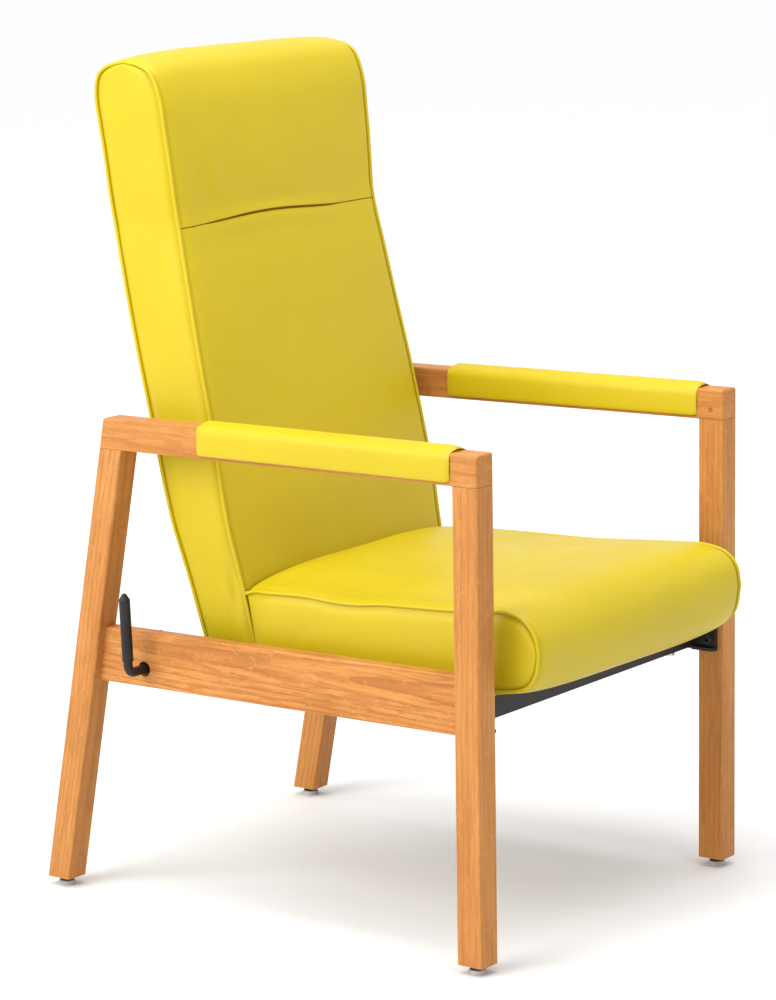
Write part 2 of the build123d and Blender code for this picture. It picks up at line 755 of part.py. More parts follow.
def make_clamp_nut():
    radius, thick = CLAMP_NUT
    face_x = -MOVING_X[0] + RUN_GAP + CLAMP_WASHER[1]
    nut = hex_x(CLAMP, radius, face_x, face_x + thick)
    return nut - rod_x(CLAMP, SHAFT_RADIUS + FIT, *MECHANISM_X)


# ================================================================ lever
def upright_plane(distance):
    """Plane across the lever's upright, that far from the elbow."""
    rise = LEVER_TIP_Z - CLAMP[1]
    lean = LEVER_ELBOW_X - LEVER_TIP_X
    axis = Vector(lean, 0, rise).normalized()
    elbow = Vector(-LEVER_ELBOW_X, *CLAMP)
    return Plane(origin=elbow + axis * distance, z_dir=axis)


def make_lever_rod():
    inner_end = (-LEVER_INNER_X, *CLAMP)
    elbow = (-LEVER_ELBOW_X, *CLAMP)
    upright = math.dist(elbow, (-LEVER_TIP_X, CLAMP[0], LEVER_TIP_Z))
    end = upright_plane(upright - GRIP_CAP - ROD_END_GAP).origin
    path = FilletPolyline(inner_end, elbow, tuple(end), radius=LEVER_BEND)
    section = Plane(origin=inner_end, z_dir=(-1, 0, 0)) * Circle(SHAFT_RADIUS)
    return sweep(section, path=path)


def make_lever_grip():
    """Sleeve with a pointed round tip, over the end of the rod."""
    length = math.dist((LEVER_ELBOW_X, CLAMP[1]), (LEVER_TIP_X, LEVER_TIP_Z)) - GRIP_START
    shoulder = length - GRIP_DOME
    grip = rod_z(0, 0, GRIP_RADIUS, 0, shoulder)
    tip = Cone(GRIP_RADIUS, GRIP_TIP_RADIUS, GRIP_DOME)
    grip += Pos(0, 0, shoulder + GRIP_DOME / 2) * tip
    rims = grip.edges().filter_by(GeomType.CIRCLE).sort_by(Axis.Z)
    grip = fillet(rims[-1], GRIP_TIP_ROUND)
    grip -= rod_z(0, 0, SHAFT_RADIUS + FIT, -1, length - GRIP_CAP)
    return upright_plane(GRIP_START) * grip


# ================================================================ glides
def leg_feet():
    """Centre (x, y) of the right legs' feet, front then rear."""
    front = (LEG_MID_X, LEG_DEPTH / 2)
    rear = (LEG_MID_X, rear_leg_front(LEG_BOTTOM) + LEG_DEPTH / 2)
    return front, rear


def make_glide(x, y):
    glide = rod_z(x, y, GLIDE_RADIUS, 0, GLIDE_DISC)
    glide = fillet(glide.edges().sort_by(Axis.Z)[-1], GLIDE_ROUND)
    glide = chamfer(glide.edges().sort_by(Axis.Z)[0], GLIDE_CHAMFER)
    return glide - rod_z(x, y, NAIL_RADIUS + FIT, NAIL_HEAD_Z, GLIDE_DISC + 1)


def make_glide_cushion(x, y):
    ring = rod_z(x, y, GLIDE_CUSHION_RADIUS, GLIDE_DISC, LEG_BOTTOM)
    return ring - rod_z(x, y, NAIL_RADIUS + FIT, 0, LEG_BOTTOM + 1)


def make_nail(x, y):
    return rod_z(x, y, NAIL_RADIUS, NAIL_HEAD_Z, NAIL_TOP)


# ================================================================ the chair
def side_pair(name, part):
    """Right and left node of one side-frame part."""
    right = toe(part)
    return {name + "_right": right, name + "_left": other_side(right)}


def both_sides(parts):
    return [p for part in parts for p in (part, other_side(part))]


def make_chair():
    nodes = {}
    nodes.update(side_pair("front_leg", make_front_leg()))
    nodes.update(side_pair("rear_leg", make_rear_leg()))
    nodes.update(side_pair("arm_rail", make_arm_rail()))
    nodes["side_rail_right"] = toe(make_side_rail(with_lever_hole=True))
    nodes["side_rail_left"] = other_side(toe(make_side_rail(with_lever_hole=False)))
    nodes["rail_dowels"] = group(both_sides([toe(dowel(c)) for c in dowel_centres()]))
    nodes["arm_pegs"] = group(both_sides([toe(make_peg(y)) for y in TENON_Y]))
    nodes.update(side_pair("arm_foam", make_arm_foam()))
    nodes.update(side_pair("arm_cover", make_arm_cover()))

    front_bolts, rear_bolts = BAR_BOLTS_YZ[:2], BAR_BOLTS_YZ[2:]
    nodes["front_crossbar"] = make_crossbar(FRONT_BAR_Y, FRONT_PLATE_Y, front_bolts, True)
    nodes["rear_crossbar"] = make_crossbar(REAR_BAR_Y, REAR_PLATE_Y, rear_bolts, False)
    nodes["crossbar_bolts"] = group(both_sides([toe(make_bar_bolt(c)) for c in BAR_BOLTS_YZ]))
    nodes["seat_board"] = make_seat_board()
    nodes["seat_foam"] = make_seat_foam()
    nodes["seat_cover"] = make_seat_cover()
    nodes["seat_bolts"] = group([make_seat_bolt(x, y) for x, y in seat_bolt_places()])
    nodes["seat_washers"] = group([make_seat_washer(x, y) for x, y in seat_bolt_places()])

    nodes["hinge_bracket_right"] = make_hinge_bracket(with_clamp=True)
    nodes["hinge_bracket_left"] = other_side(make_hinge_bracket(with_clamp=False))
    nodes["hinge_pin_right"] = make_hinge_pin()
    nodes["hinge_pin_left"] = other_side(make_hinge_pin())
    nodes["hinge_pin_nuts"] = group(both_sides([make_pin_nut()]))
    fibre_x = (-FIXED_X[0], -FIXED_X[0] + FIBRE)
    pivot_ring = ring_x(PIVOT, PIN_RADIUS + FIT, PIVOT_WASHER_RADIUS, *fibre_x)
    nodes["hinge_washers"] = group(both_sides([pivot_ring]))
    clamp_ring = (CLAMP, SHAFT_RADIUS + FIT, CLAMP_FRICTION_RADIUS)
    nodes["friction_washer"] = ring_x(*clamp_ring, *fibre_x)
    nodes["clamp_bush"] = make_clamp_bush()

    for place, (x, y) in zip(("front", "rear"), leg_feet()):
        nodes.update(side_pair(place + "_glide", make_glide(x, y)))
    cushions = [toe(make_glide_cushion(x, y)) for x, y in leg_feet()]
    nodes["glide_cushions"] = group(both_sides(cushions))
    nodes["glide_nails"] = group(both_sides([toe(make_nail(x, y)) for x, y in leg_feet()]))

    nodes["back_stile_right"] = make_stile()
    nodes["back_stile_left"] = other_side(make_stile())
    nodes["back_bottom_rail"] = make_back_rail(BOTTOM_RAIL_Z, BOTTOM_RAIL_DEPTH, STILE_X[1])
    nodes["back_middle_rail"] = make_back_rail(MIDDLE_RAIL_Z, STILE_DEPTH, STILE_X[0])
    nodes["back_top_rail"] = make_back_rail(TOP_RAIL_Z, STILE_DEPTH, STILE_X[0])
    nodes["back_panel"] = make_back_panel()
    nodes["back_foam"] = make_back_foam()
    nodes["head_foam"] = make_head_foam()
    nodes["back_cover"] = make_back_cover()
    nodes["hinge_plate_right"] = make_hinge_plate(with_quadrant=True)
    nodes["hinge_plate_left"] = other_side(make_hinge_plate(with_quadrant=False))
    nodes["hinge_plate_screws"] = group([make_plate_screw(x, y) for x, y in screw_places()])

    nodes["lever_rod"] = make_lever_rod()
    nodes["lever_grip"] = make_lever_grip()
    nodes["clamp_washer"] = make_clamp_washer()
    nodes["clamp_nut"] = make_clamp_nut()
    return nodes


def centre_on_floor(nodes):
    """Moves every node so that the origin is the centre of the footprint box."""
    boxes = [part.bounding_box() for part in nodes.values()]
    x = -(min(b.min.X for b in boxes) + max(b.max.X for b in boxes)) / 2
    y = -(min(b.min.Y for b in boxes) + max(b.max.Y for b in boxes)) / 2
    print(f"shift x {x:.3f} y {y:.3f}")
    return {name: Pos(x, y, 0) * part for name, part in nodes.items()}


chair = centre_on_floor(make_chair())
os.makedirs("parts", exist_ok=True)
for name, part in chair.items():
    export_step(part, f"parts/{name}.step")
print(len(chair), "nodes written")
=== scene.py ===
import json
import math

import bpy
import numpy as np
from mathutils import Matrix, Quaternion, Vector


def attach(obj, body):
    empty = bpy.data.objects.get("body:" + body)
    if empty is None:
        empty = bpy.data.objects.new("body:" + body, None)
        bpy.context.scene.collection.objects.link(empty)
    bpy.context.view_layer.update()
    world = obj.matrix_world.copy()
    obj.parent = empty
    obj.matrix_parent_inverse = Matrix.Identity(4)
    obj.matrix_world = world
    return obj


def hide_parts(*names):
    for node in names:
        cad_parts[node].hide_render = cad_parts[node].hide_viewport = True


# Looks of a high-backed recliner chair: oak side frames, yellow vinyl cushions with piping.
# Shapes are worked out in millimetres in chair coordinates: x = 0 is the mid plane with the sitter's
# right at -X, y = 0 is the front of the front legs with +Y to the rear, z = 0 is the floor.

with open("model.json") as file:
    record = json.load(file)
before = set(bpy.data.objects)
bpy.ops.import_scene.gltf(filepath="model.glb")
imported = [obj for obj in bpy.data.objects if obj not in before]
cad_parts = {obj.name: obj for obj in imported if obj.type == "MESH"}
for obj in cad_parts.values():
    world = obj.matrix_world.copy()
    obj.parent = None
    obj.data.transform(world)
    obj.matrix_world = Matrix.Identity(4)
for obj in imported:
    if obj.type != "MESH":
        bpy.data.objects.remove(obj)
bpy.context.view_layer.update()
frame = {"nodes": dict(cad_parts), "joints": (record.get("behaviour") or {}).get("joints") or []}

MM = 0.001
PIVOT = (0.0, 448.0, 328.0)  # the recline axis in chair coordinates
TOE_IN = math.radians(1.146)  # each side frame closes towards the rear
LEG_FACE_X = 300.0  # outer face of a front leg

# ---------------------------------------------------------------- vinyl and piping
CORD_RADIUS = 2.5
CORD_SPACING = 4.0  # between the rings of a cord
CORD_LIFT = 1.1  # the cord's centre stands this far outside the seam, both ways
SEAM_LIFT = 0.7  # the panels meet inside the cord
SEAM_LIFT_WIDTH = 1.2
SEAM_DIP = 0.8  # the crease beside the cord
SEAM_DIP_PLACE = 3.0
SEAM_DIP_WIDTH = 1.8
STRIP_PUFF = (4.5, 5.5)  # how far a panel rises above its seam, and over what distance
SIDE_PUFF = (5.5, 8.0)

# ---------------------------------------------------------------- back cushion
BACK_BOTTOM = 342.0
BACK_SHOULDER = 1045.0
BACK_APEX = (599.0, 1091.5)
BACK_FRONT_CURVE = (405.0, 0.2355, -0.00007)  # y at the bottom, slope and curvature
BACK_REAR_CURVE = (483.0, 0.314, -0.00013)
BACK_FRONT_TURN = ((556.5, 1077.0), (574.5, 1087.5))
BACK_REAR_TURN = ((642.5, 1073.0), (624.5, 1086.0))
HEAD_SET_BACK = 7.5  # the upper back leans further than the curves
NECK_SET_BACK = 4.5  # and the head seam draws it in a little more
BACK_HALF = (  # height and distance from the mid plane to the cord's centre
    (342.0, 217.0),
    (433.0, 219.6),
    (500.0, 226.2),
    (550.0, 225.6),
    (700.0, 219.8),
    (827.0, 212.8),
    (884.0, 208.8),
    (945.0, 212.6),
    (1010.0, 215.8),
    (1092.0, 217.6),
)
HEAD_SEAM = 882.0
POCKET_MIDDLE = -17.0
POCKET_HALF = 141.0
POCKET_GAP = 5.0
POCKET_OPEN = 3.0
POCKET_DEPTH = 4.2
POCKET_BOW = 7.0  # the head seam bows upwards between its ends
POCKET_BOW_MIDDLE = -35.0
POCKET_BOW_HALF = 165.0
BACK_CROWN = 6.5
BACK_TOP_CROWN = 6.0
BACK_SIDE_CROWN = 1.0
FOLD_Z = 415.0  # the fold low on the side panels: a dent with a ridge behind it
DENT_Y = 435.0
DENT_DEPTH = 5.5
RIDGE_Y = 446.0
RIDGE_HEIGHT = 3.2
BACK_GRID = (72, 43, 9)  # rows up an edge, columns and side columns of the simulated mesh

# ---------------------------------------------------------------- seat cushion
SEAT_HALF = 231.8  # to the cord's centre
SEAT_TOP_RIGHT = (
    (416.0, 419.0),
    (390.0, 425.0),
    (318.0, 429.0),
    (271.0, 427.0),
    (232.0, 428.0),
    (188.0, 433.0),
    (88.0, 438.0),
    (22.0, 444.0),
    (0.0, 444.0),
    (-20.0, 437.0),
    (-35.0, 419.0),
    (-40.0, 398.0),
)
SEAT_TOP_LEFT = (
    (416.0, 424.0),
    (332.0, 432.0),
    (189.0, 436.0),
    (107.0, 442.0),
    (24.0, 448.0),
    (2.0, 448.0),
    (-24.0, 442.0),
    (-40.0, 426.0),
    (-45.0, 400.0),
)
SEAT_UNDER_RIGHT = (
    (401.0, 341.5),
    (60.0, 341.5),
    (22.0, 345.0),
    (-20.0, 354.0),
    (-36.0, 374.0),
    (-40.0, 398.0),
)
SEAT_UNDER_LEFT = (
    (401.0, 341.5),
    (60.0, 341.5),
    (20.0, 341.5),
    (-9.0, 343.0),
    (-37.0, 366.0),
    (-45.0, 400.0),
)
SEAT_CROWN = 11.0
SEAT_SIDE_CROWN = 1.5
SEAT_LOW_NOSE = 7.0
SEAT_REAR_CROWN = 14.0  # the back presses the rear of the seat up
SEAT_REAR_PINCH = 11.0  # the rear corners are squeezed in beside the back
SEAT_PINCH_Y = (370.0, 412.0)
MARGIN_X = 203.0  # inside these limits the seat board shows underneath
MARGIN_Y = (66.0, 372.0)
BOARD_INSIDE_Z = 343.0
UNDER_Z = 337.4  # the cover's underside, just below the board's
UNDER_EDGE_Z = 338.6
SEAT_GRID = (48, 45, 9)

# ---------------------------------------------------------------- arm pads
ARM_TOP = 650.0
ARM_FALL = 8.0 / 600.0
ARM_HALF = 17.5
ARM_MID_X = -282.5
PAD_Y = (39.6, 435.0)
PAD_SIDE = 3.6
PAD_TOP = 5.0
PAD_LOW = -36.0  # below the arm's top
PAD_ROUND = 14.0
PAD_END_ROUND = 11.0
PAD_SKIN = 1.0
PAD_CROWN = 2.2

CREASE_SHADE_REACH = 0.007  # metres over which painted shade darkens the vinyl beside a cord or in a seam

# ---------------------------------------------------------------- camera
CAMERA_AZIMUTH = math.radians(-53.722)
CAMERA_ELEVATION = math.radians(10.894)
CAMERA_ROLL = math.radians(-0.881)
CAMERA_PLACE = (-3.9130, -2.8636, 1.4481)
CAMERA_LENS = 135.72

# ---------------------------------------------------------------- studio
FLOOR_RADIUS = 40.0
WORLD_STRENGTH = 0.90
SOFTBOX_SIZE = (2.6, 2.6)
LEFT_SOFTBOX = ((-3.4, 1.3, 2.6), (0, 0, 0.55), 142.0)  # place, target and watts
TOP_SOFTBOX = ((-0.4, -0.3, 3.6), (0, 0, 0.5), 105.0)


def chair_origin():
    """Row-frame place of the chair coordinates' origin, in millimetres."""
    joint = next(j for j in frame["joints"] if j["name"] == "back_recline")
    return np.array(joint["pos_m"]) / MM - np.array(PIVOT)


ORIGIN = chair_origin()


def to_frame(points):
    return (np.asarray(points, float) + ORIGIN) * MM


# ================================================================ curves and grids
def curve_through(points):
    """Smooth curve through the points, as a function of the share of its length."""
    p = np.array(points, float)
    p = np.vstack([2 * p[0] - p[1], p, 2 * p[-1] - p[-2]])
    t = np.linspace(0, 1, 24, endpoint=False)[:, None]
    spans = []
    for a, b, c, d in zip(p[:-3], p[1:-2], p[2:-1], p[3:]):
        bend = (2 * a - 5 * b + 4 * c - d) * t**2 + (3 * b - a - 3 * c + d) * t**3
        spans.append(b + 0.5 * ((c - a) * t + bend))
    dense = np.vstack(spans + [p[-2:-1]])
    steps = np.linalg.norm(np.diff(dense, axis=0), axis=1)
    share = np.concatenate([[0], np.cumsum(steps)]) / steps.sum()

    def at(s):
        return np.stack([np.interp(s, share, column) for column in dense.T], axis=-1)

    return at


def resample(values, old, new):
    """Cubic interpolation along the first axis."""
    slope = np.gradient(values, old, axis=0)
    k = np.clip(np.searchsorted(old, new, side="right") - 1, 0, len(old) - 2)
    width = old[k + 1] - old[k]
    flat = (-1,) + (1,) * (values.ndim - 1)
    t = ((new - old[k]) / width).reshape(flat)
    width = width.reshape(flat)
    start = (1 + 2 * t) * (1 - t) ** 2 * values[k] + t * (1 - t) ** 2 * width * slope[k]
    end = t**2 * (3 - 2 * t) * values[k + 1] + t**2 * (t - 1) * width * slope[k + 1]
    return start + end


def graded(length, fine, coarse, growth=1.4):
    """Shares from 0 to 1 that lie closer together near both ends."""
    edge, step = [0.0], fine
    while step < coarse and edge[-1] + step < length / 3:
        edge.append(edge[-1] + step)
        step *= growth
    middle_count = max(2, round((length - 2 * edge[-1]) / coarse) + 1)
    middle = np.linspace(edge[-1], length - edge[-1], middle_count)
    ends = np.array(edge[:-1])
    return np.concatenate([ends, middle, length - ends[::-1]]) / length


def bell(distance, width):
    return np.exp(-((distance / width) ** 2))


def smooth_step(value, low, high):
    t = np.clip((value - low) / (high - low), 0, 1)
    return t * t * (3 - 2 * t)


def ripple(a, b, seed):
    """Gentle unevenness between -1 and 1 over two lengths in millimetres."""
    rng = np.random.default_rng(seed)
    total = np.zeros(np.broadcast(a, b).shape)
    for wave in (260.0, 170.0, 110.0, 75.0):
        turn, phase = rng.uniform(0, math.tau, 2)
        along = a * math.cos(turn) + b * math.sin(turn)
        total += np.sin(math.tau * along / wave + phase) * wave / 260.0
    return total / 2.4


class Cushion:
    """A closed cushion: one strip wrapped round the side outline, and a panel on each side.

    The outline has two edges, a and b, that start at a flat end and meet at a far point. Rows go up
    edge a, back along edge b and across the flat end. Columns go from the right seam to the left."""

    def __init__(self, edge_a, edge_b, half, shares, across, deep):
        self.shares, self.across, self.deep = shares, across, deep
        flat = deep[1:-1][::-1]
        self.rho = np.concatenate([shares, 2 - shares[:-1][::-1], 3 - flat])
        left = ((across + 1) / 2)[None, :, None]
        points_a = edge_a(shares, -1)[:, None] * (1 - left) + edge_a(shares, 1)[:, None] * left
        points_b = edge_b(shares, -1)[:, None] * (1 - left) + edge_b(shares, 1)[:, None] * left
        ends = points_a[:1] * (1 - flat)[:, None, None] + points_b[:1] * flat[:, None, None]
        yz = np.concatenate([points_a, points_b[:-1][::-1], ends])
        self.half = half(yz)
        self.strip = np.concatenate([(self.half * across)[..., None], yz], axis=2)
        closed = np.concatenate([yz[-1:], yz, yz[:1]])
        run = closed[2:] - closed[:-2]
        run /= np.linalg.norm(run, axis=2, keepdims=True)
        self.normal = np.stack([np.zeros(run.shape[:2]), -run[..., 1], run[..., 0]], axis=2)
        self.rows, self.cols = self.strip.shape[:2]
        self.sides = np.stack([self.side_grid(0), self.side_grid(1)])

    def side_grid(self, side):
        n = len(self.shares)
        ring = self.strip[:, 0 if side == 0 else -1]
        a, b = ring[:n], ring[n - 1 : 2 * n - 1][::-1]
        d = self.deep[None, :, None]
        return a[:, None] * (1 - d) + b[:, None] * d

    def side_index(self, side):
        """Vertex numbers of one side panel, by row and depth."""
        n, m = len(self.shares) - 1, len(self.deep) - 1
        column = 0 if side == 0 else self.cols - 1
        inner = (n - 1) * (m - 1)
        table = np.zeros((n + 1, m + 1), int)
        first = self.rows * self.cols + side * inner
        table[1:n, 1:m] = first + np.arange(inner).reshape(n - 1, m - 1)
        table[:, 0] = np.arange(n + 1) * self.cols + column
        table[:, m] = (2 * n - np.arange(n + 1)) * self.cols + column
        table[0, 1:m] = (2 * n + m - np.arange(1, m)) * self.cols + column
        table[n, :] = n * self.cols + column
        return table

    def vertices(self, strip, sides):
        return np.concatenate([strip.reshape(-1, 3), sides[:, 1:-1, 1:-1].reshape(-1, 3)])

    def faces(self):
        index = np.arange(self.rows * self.cols).reshape(self.rows, self.cols)
        ahead = np.roll(index, -1, axis=0)
        quads = np.stack([index[:, :-1], index[:, 1:], ahead[:, 1:], ahead[:, :-1]], axis=2)
        faces = [tuple(q) for q in quads.reshape(-1, 4).tolist()]
        for side in (0, 1):
            t = self.side_index(side)
            quads = np.stack([t[:-1, :-1], t[1:, :-1], t[1:, 1:], t[:-1, 1:]], axis=2)
            for quad in quads.reshape(-1, 4).tolist():
                corners = list(dict.fromkeys(quad))
                faces.append(tuple(corners if side == 0 else corners[::-1]))
        return faces

    def carry(self, moves, coarse):
        """Moves of a coarser cushion's strip and sides, carried over to this one's grid."""
        strip, sides = moves
        closed = np.concatenate([strip, strip[:1]])
        strip = resample(closed, np.append(coarse.rho, 3.0), self.rho)
        strip = resample(strip.swapaxes(0, 1), coarse.across, self.across).swapaxes(0, 1)
        finer = [resample(side, coarse.shares, self.shares) for side in sides]
        finer = [resample(s.swapaxes(0, 1), coarse.deep, self.deep).swapaxes(0, 1) for s in finer]
        return strip, np.stack(finer)


def add_mesh(name, points, faces):
    mesh = bpy.data.meshes.new(name)
    mesh.from_pydata([tuple(p) for p in points], [], faces)
    mesh.validate()
    mesh.polygons.foreach_set("use_smooth", [True] * len(mesh.polygons))
    obj = bpy.data.objects.new(name, mesh)
    bpy.context.scene.collection.objects.link(obj)
    return obj


def subdivide(obj):
    modifier = obj.modifiers.new("Smooth", "SUBSURF")
    modifier.levels = 1
    modifier.render_levels = 1


# ================================================================ cloth
CLOTH_PRESSURE = 4.0
CLOTH_FRAMES = 20
CLOTH_CAP = 28.0


def inflate(name, points, faces, pinned):
    """How far each point moves, in millimetres, when the closed mesh is filled with pressure."""
    obj = add_mesh(name, to_frame(points), faces)
    group = obj.vertex_groups.new(name="Sewn")
    group.add([int(i) for i in np.flatnonzero(pinned)], 1.0, "REPLACE")
    cloth = obj.modifiers.new("Cloth", "CLOTH").settings
    cloth.use_pressure = True
    cloth.uniform_pressure_force = CLOTH_PRESSURE
    cloth.vertex_group_mass = "Sewn"
    cloth.effector_weights.gravity = 0.0
    cloth.quality = 5
    cloth.tension_stiffness = 20.0
    cloth.compression_stiffness = 20.0
    cloth.bending_stiffness = 1.5
    scene = bpy.context.scene
    for number in range(1, CLOTH_FRAMES + 1):
        scene.frame_set(number)
    moved = obj.evaluated_get(bpy.context.evaluated_depsgraph_get()).to_mesh()
    co = np.zeros(len(points) * 3)
    moved.vertices.foreach_get("co", co)
    scene.frame_set(1)
    move = co.reshape(-1, 3) / MM - ORIGIN - points
    bpy.data.objects.remove(obj)
    length = np.linalg.norm(move, axis=1, keepdims=True)
    return move * np.minimum(1, CLOTH_CAP / np.maximum(length, 1e-6))


def swollen(cushion, name, crown, side_crown, held):
    """Moves of the strip and the sides as the foam fills the cover. Held rows stay put."""
    points = cushion.vertices(cushion.strip, cushion.sides)
    pinned = np.zeros(len(points), bool)
    pinned[: held.size] = held.ravel()
    move = inflate(name, points, cushion.faces(), pinned)
    strip = move[: cushion.rows * cushion.cols].reshape(cushion.rows, cushion.cols, 3)
    sides = np.stack([move[cushion.side_index(side)] for side in (0, 1)])
    strip = strip * crown / np.percentile(np.linalg.norm(strip, axis=2), 99)
    sides = sides * side_crown / np.percentile(np.linalg.norm(sides, axis=3), 99)
    print(name, "cloth moved up to", round(float(np.abs(move).max()), 1), "mm")
    return strip, sides


def near_seam(distance, puff):
    """Height of a panel above its seam, close to it."""
    rise, width = puff
    dip = SEAM_DIP * bell(distance - SEAM_DIP_PLACE, SEAM_DIP_WIDTH)
    lift = SEAM_LIFT * bell(distance, SEAM_LIFT_WIDTH)
    return rise * (1 - np.exp(-((distance / width) ** 1.5))) + lift - dip


def panel_edge(cushion, side):
    """Distance of each point of a side panel from the panel's nearest edge."""
    grid = cushion.sides[side]
    width = np.linalg.norm(grid[:, -1] - grid[:, 0], axis=1)[:, None]
    to_seam = width * np.minimum(cushion.deep, 1 - cushion.deep)[None, :]
    from_end = np.linalg.norm(grid - grid[:1], axis=2)
    return np.minimum(to_seam, from_end)


# ================================================================ cords
def cord(path, radius, sides=14):
    """Points and faces of a round cord with domed ends along the path."""
    path = np.asarray(path, float)
    tangent = np.gradient(path, axis=0)
    tangent /= np.linalg.norm(tangent, axis=1, keepdims=True)
    across = np.cross(tangent[0], (0.31, 0.47, 0.83))
    turns = np.linspace(0, math.tau, sides, endpoint=False)
    dome = np.radians((15, 40, 65))
    rings = []
    for i, (point, along) in enumerate(zip(path, tangent)):
        across = across - along * (across @ along)
        across = across / np.linalg.norm(across)
        other = np.cross(along, across)
        ring = np.cos(turns)[:, None] * across + np.sin(turns)[:, None] * other
        if i == 0:
            for angle in dome[::-1]:
                rings.append(point + radius * (ring * math.cos(angle) - along * math.sin(angle)))
        rings.append(point + radius * ring)
        if i == len(path) - 1:
            for angle in dome:
                rings.append(point + radius * (ring * math.cos(angle) + along * math.sin(angle)))
    points = np.concatenate(rings + [path[:1] - radius * tangent[:1], path[-1:] + radius * tangent[-1:]])
    faces = []
    count = len(rings)
    for i in range(count - 1):
        for k in range(sides):
            a, b = i * sides + k, i * sides + (k + 1) % sides
            faces.append((a, b, b + sides, a + sides))
    first, last = count * sides, count * sides + 1
    for k in range(sides):
        faces.append((first, (k + 1) % sides, k))
        faces.append((last, (count - 1) * sides + k, (count - 1) * sides + (k + 1) % sides))
    return points, faces


def piping(name, cushion):
    """Cords round both side panels of a cushion, as one piece."""
    rows = np.arange(cushion.rows - len(cushion.deep) + 2)
    all_points, all_faces, start = [], [], 0
    for column, side in ((0, -1), (-1, 1)):
        path = cushion.strip[rows, column] + cushion.normal[rows, column] * CORD_LIFT
        path = path + np.array((side * CORD_LIFT, 0, 0))
        points, faces = cord(even(path, CORD_SPACING), CORD_RADIUS)
        all_points.append(points)
        all_faces += [tuple(i + start for i in face) for face in faces]
        start += len(points)
    return add_mesh(name, to_frame(np.concatenate(all_points)), all_faces)


def even(path, spacing):
    """The same path with points at an even spacing."""
    steps = np.linalg.norm(np.diff(path, axis=0), axis=1)
    length = np.concatenate([[0], np.cumsum(steps)])
    places = np.linspace(0, length[-1], max(2, int(length[-1] / spacing)))
    return np.stack([np.interp(places, length, column) for column in path.T], axis=1)


# ================================================================ back cushion
def curve_y(curve, z):
    start, slope, bend = curve
    rise = z - BACK_BOTTOM
    set_back = HEAD_SET_BACK * smooth_step(z, 600, 830) + NECK_SET_BACK * bell(z - 890, 60)
    return start + slope * rise + bend * rise**2 + set_back


def back_edge(curve, turn):
    heights = np.linspace(BACK_BOTTOM, BACK_SHOULDER, 20)
    points = [(curve_y(curve, z), z) for z in heights] + list(turn) + [BACK_APEX]
    edge = curve_through(points)
    return lambda share, side: edge(share)


def back_half(yz):
    """Distance from the mid plane to the side seams at each height."""
    heights, widths = zip(*BACK_HALF)
    spread = [np.interp(yz[..., 1] + step, heights, widths) for step in (-14, -7, 0, 7, 14)]
    return np.mean(spread, axis=0) - CORD_LIFT


def back_grid(shares, across, deep):
    front = back_edge(BACK_FRONT_CURVE, BACK_FRONT_TURN)
    rear = back_edge(BACK_REAR_CURVE, BACK_REAR_TURN)
    return Cushion(front, rear, back_half, shares, across, deep)


def seam_share():
    """Share along the front edge at which the head seam crosses."""
    front = back_edge(BACK_FRONT_CURVE, BACK_FRONT_TURN)
    shares = np.linspace(0, 1, 2000)
    return float(np.interp(HEAD_SEAM, front(shares, 0)[:, 1], shares))


BACK_EDGE_LENGTH = 792.0
POCKET_BELOW = (-34, -26, -19, -13.5, -9.5, -7.0, -5.6, -5.0, -4.2, -3.0, -1.8, -0.8)
POCKET_ROWS = (*POCKET_BELOW, 0, 0.8, 2.0, 4.5, 8, 13, 19, 26)  # mm along the panel from the seam


def pocket_open(x):
    """1 where the pocket under the head panel gapes most, 0 where the seam is sewn."""
    return np.sqrt(np.clip(1 - ((x - POCKET_MIDDLE) / POCKET_HALF) ** 2, 0, 1))


def add_pocket(cushion, strip, seam):
    """Shapes the rows by the head seam into a sewn crease that opens into a pocket."""
    n = len(cushion.shares)
    offset = (cushion.shares - seam) * BACK_EDGE_LENGTH
    x = cushion.strip[:n, :, 0]
    openness = pocket_open(x)
    gap = 1.2 + (POCKET_OPEN - 1.2) * openness
    delta = offset[:, None] * np.ones_like(x)
    reach = abs(POCKET_ROWS[0])
    inside = (delta > -POCKET_GAP - 0.01) & (delta < 0.01)
    below = (delta <= -POCKET_GAP - 0.01) & (delta > -reach)
    moved = np.where(inside, delta * gap / POCKET_GAP, delta)
    stretch = (reach - gap) / (reach - POCKET_GAP)
    moved = np.where(below, -reach + (delta + reach) * stretch, moved)
    run = np.stack([np.zeros_like(x), cushion.normal[:n, :, 2], -cushion.normal[:n, :, 1]], axis=2)
    ends = np.clip(1 - ((x - POCKET_BOW_MIDDLE) / POCKET_BOW_HALF) ** 2, 0, 1) ** 2
    bow = POCKET_BOW * ends * bell(delta, 60.0)
    strip[:n] += run * (moved - delta + bow)[..., None]
    trough = smooth_step(-delta, 0.2, 1.6) * smooth_step(delta, -POCKET_GAP + 0.3, -POCKET_GAP + 1.6)
    depth = (1.6 + (POCKET_DEPTH - 1.6) * openness) * trough
    upper = (0.8 + 2.2 * openness) * bell(np.maximum(delta, 0), 11.0) * (delta > -0.1)
    lower = (0.4 + 1.2 * openness) * bell(delta + POCKET_GAP + 7, 8.0) * (delta < -POCKET_GAP + 0.1)
    strip[:n] += cushion.normal[:n] * (upper + lower - depth)[..., None]


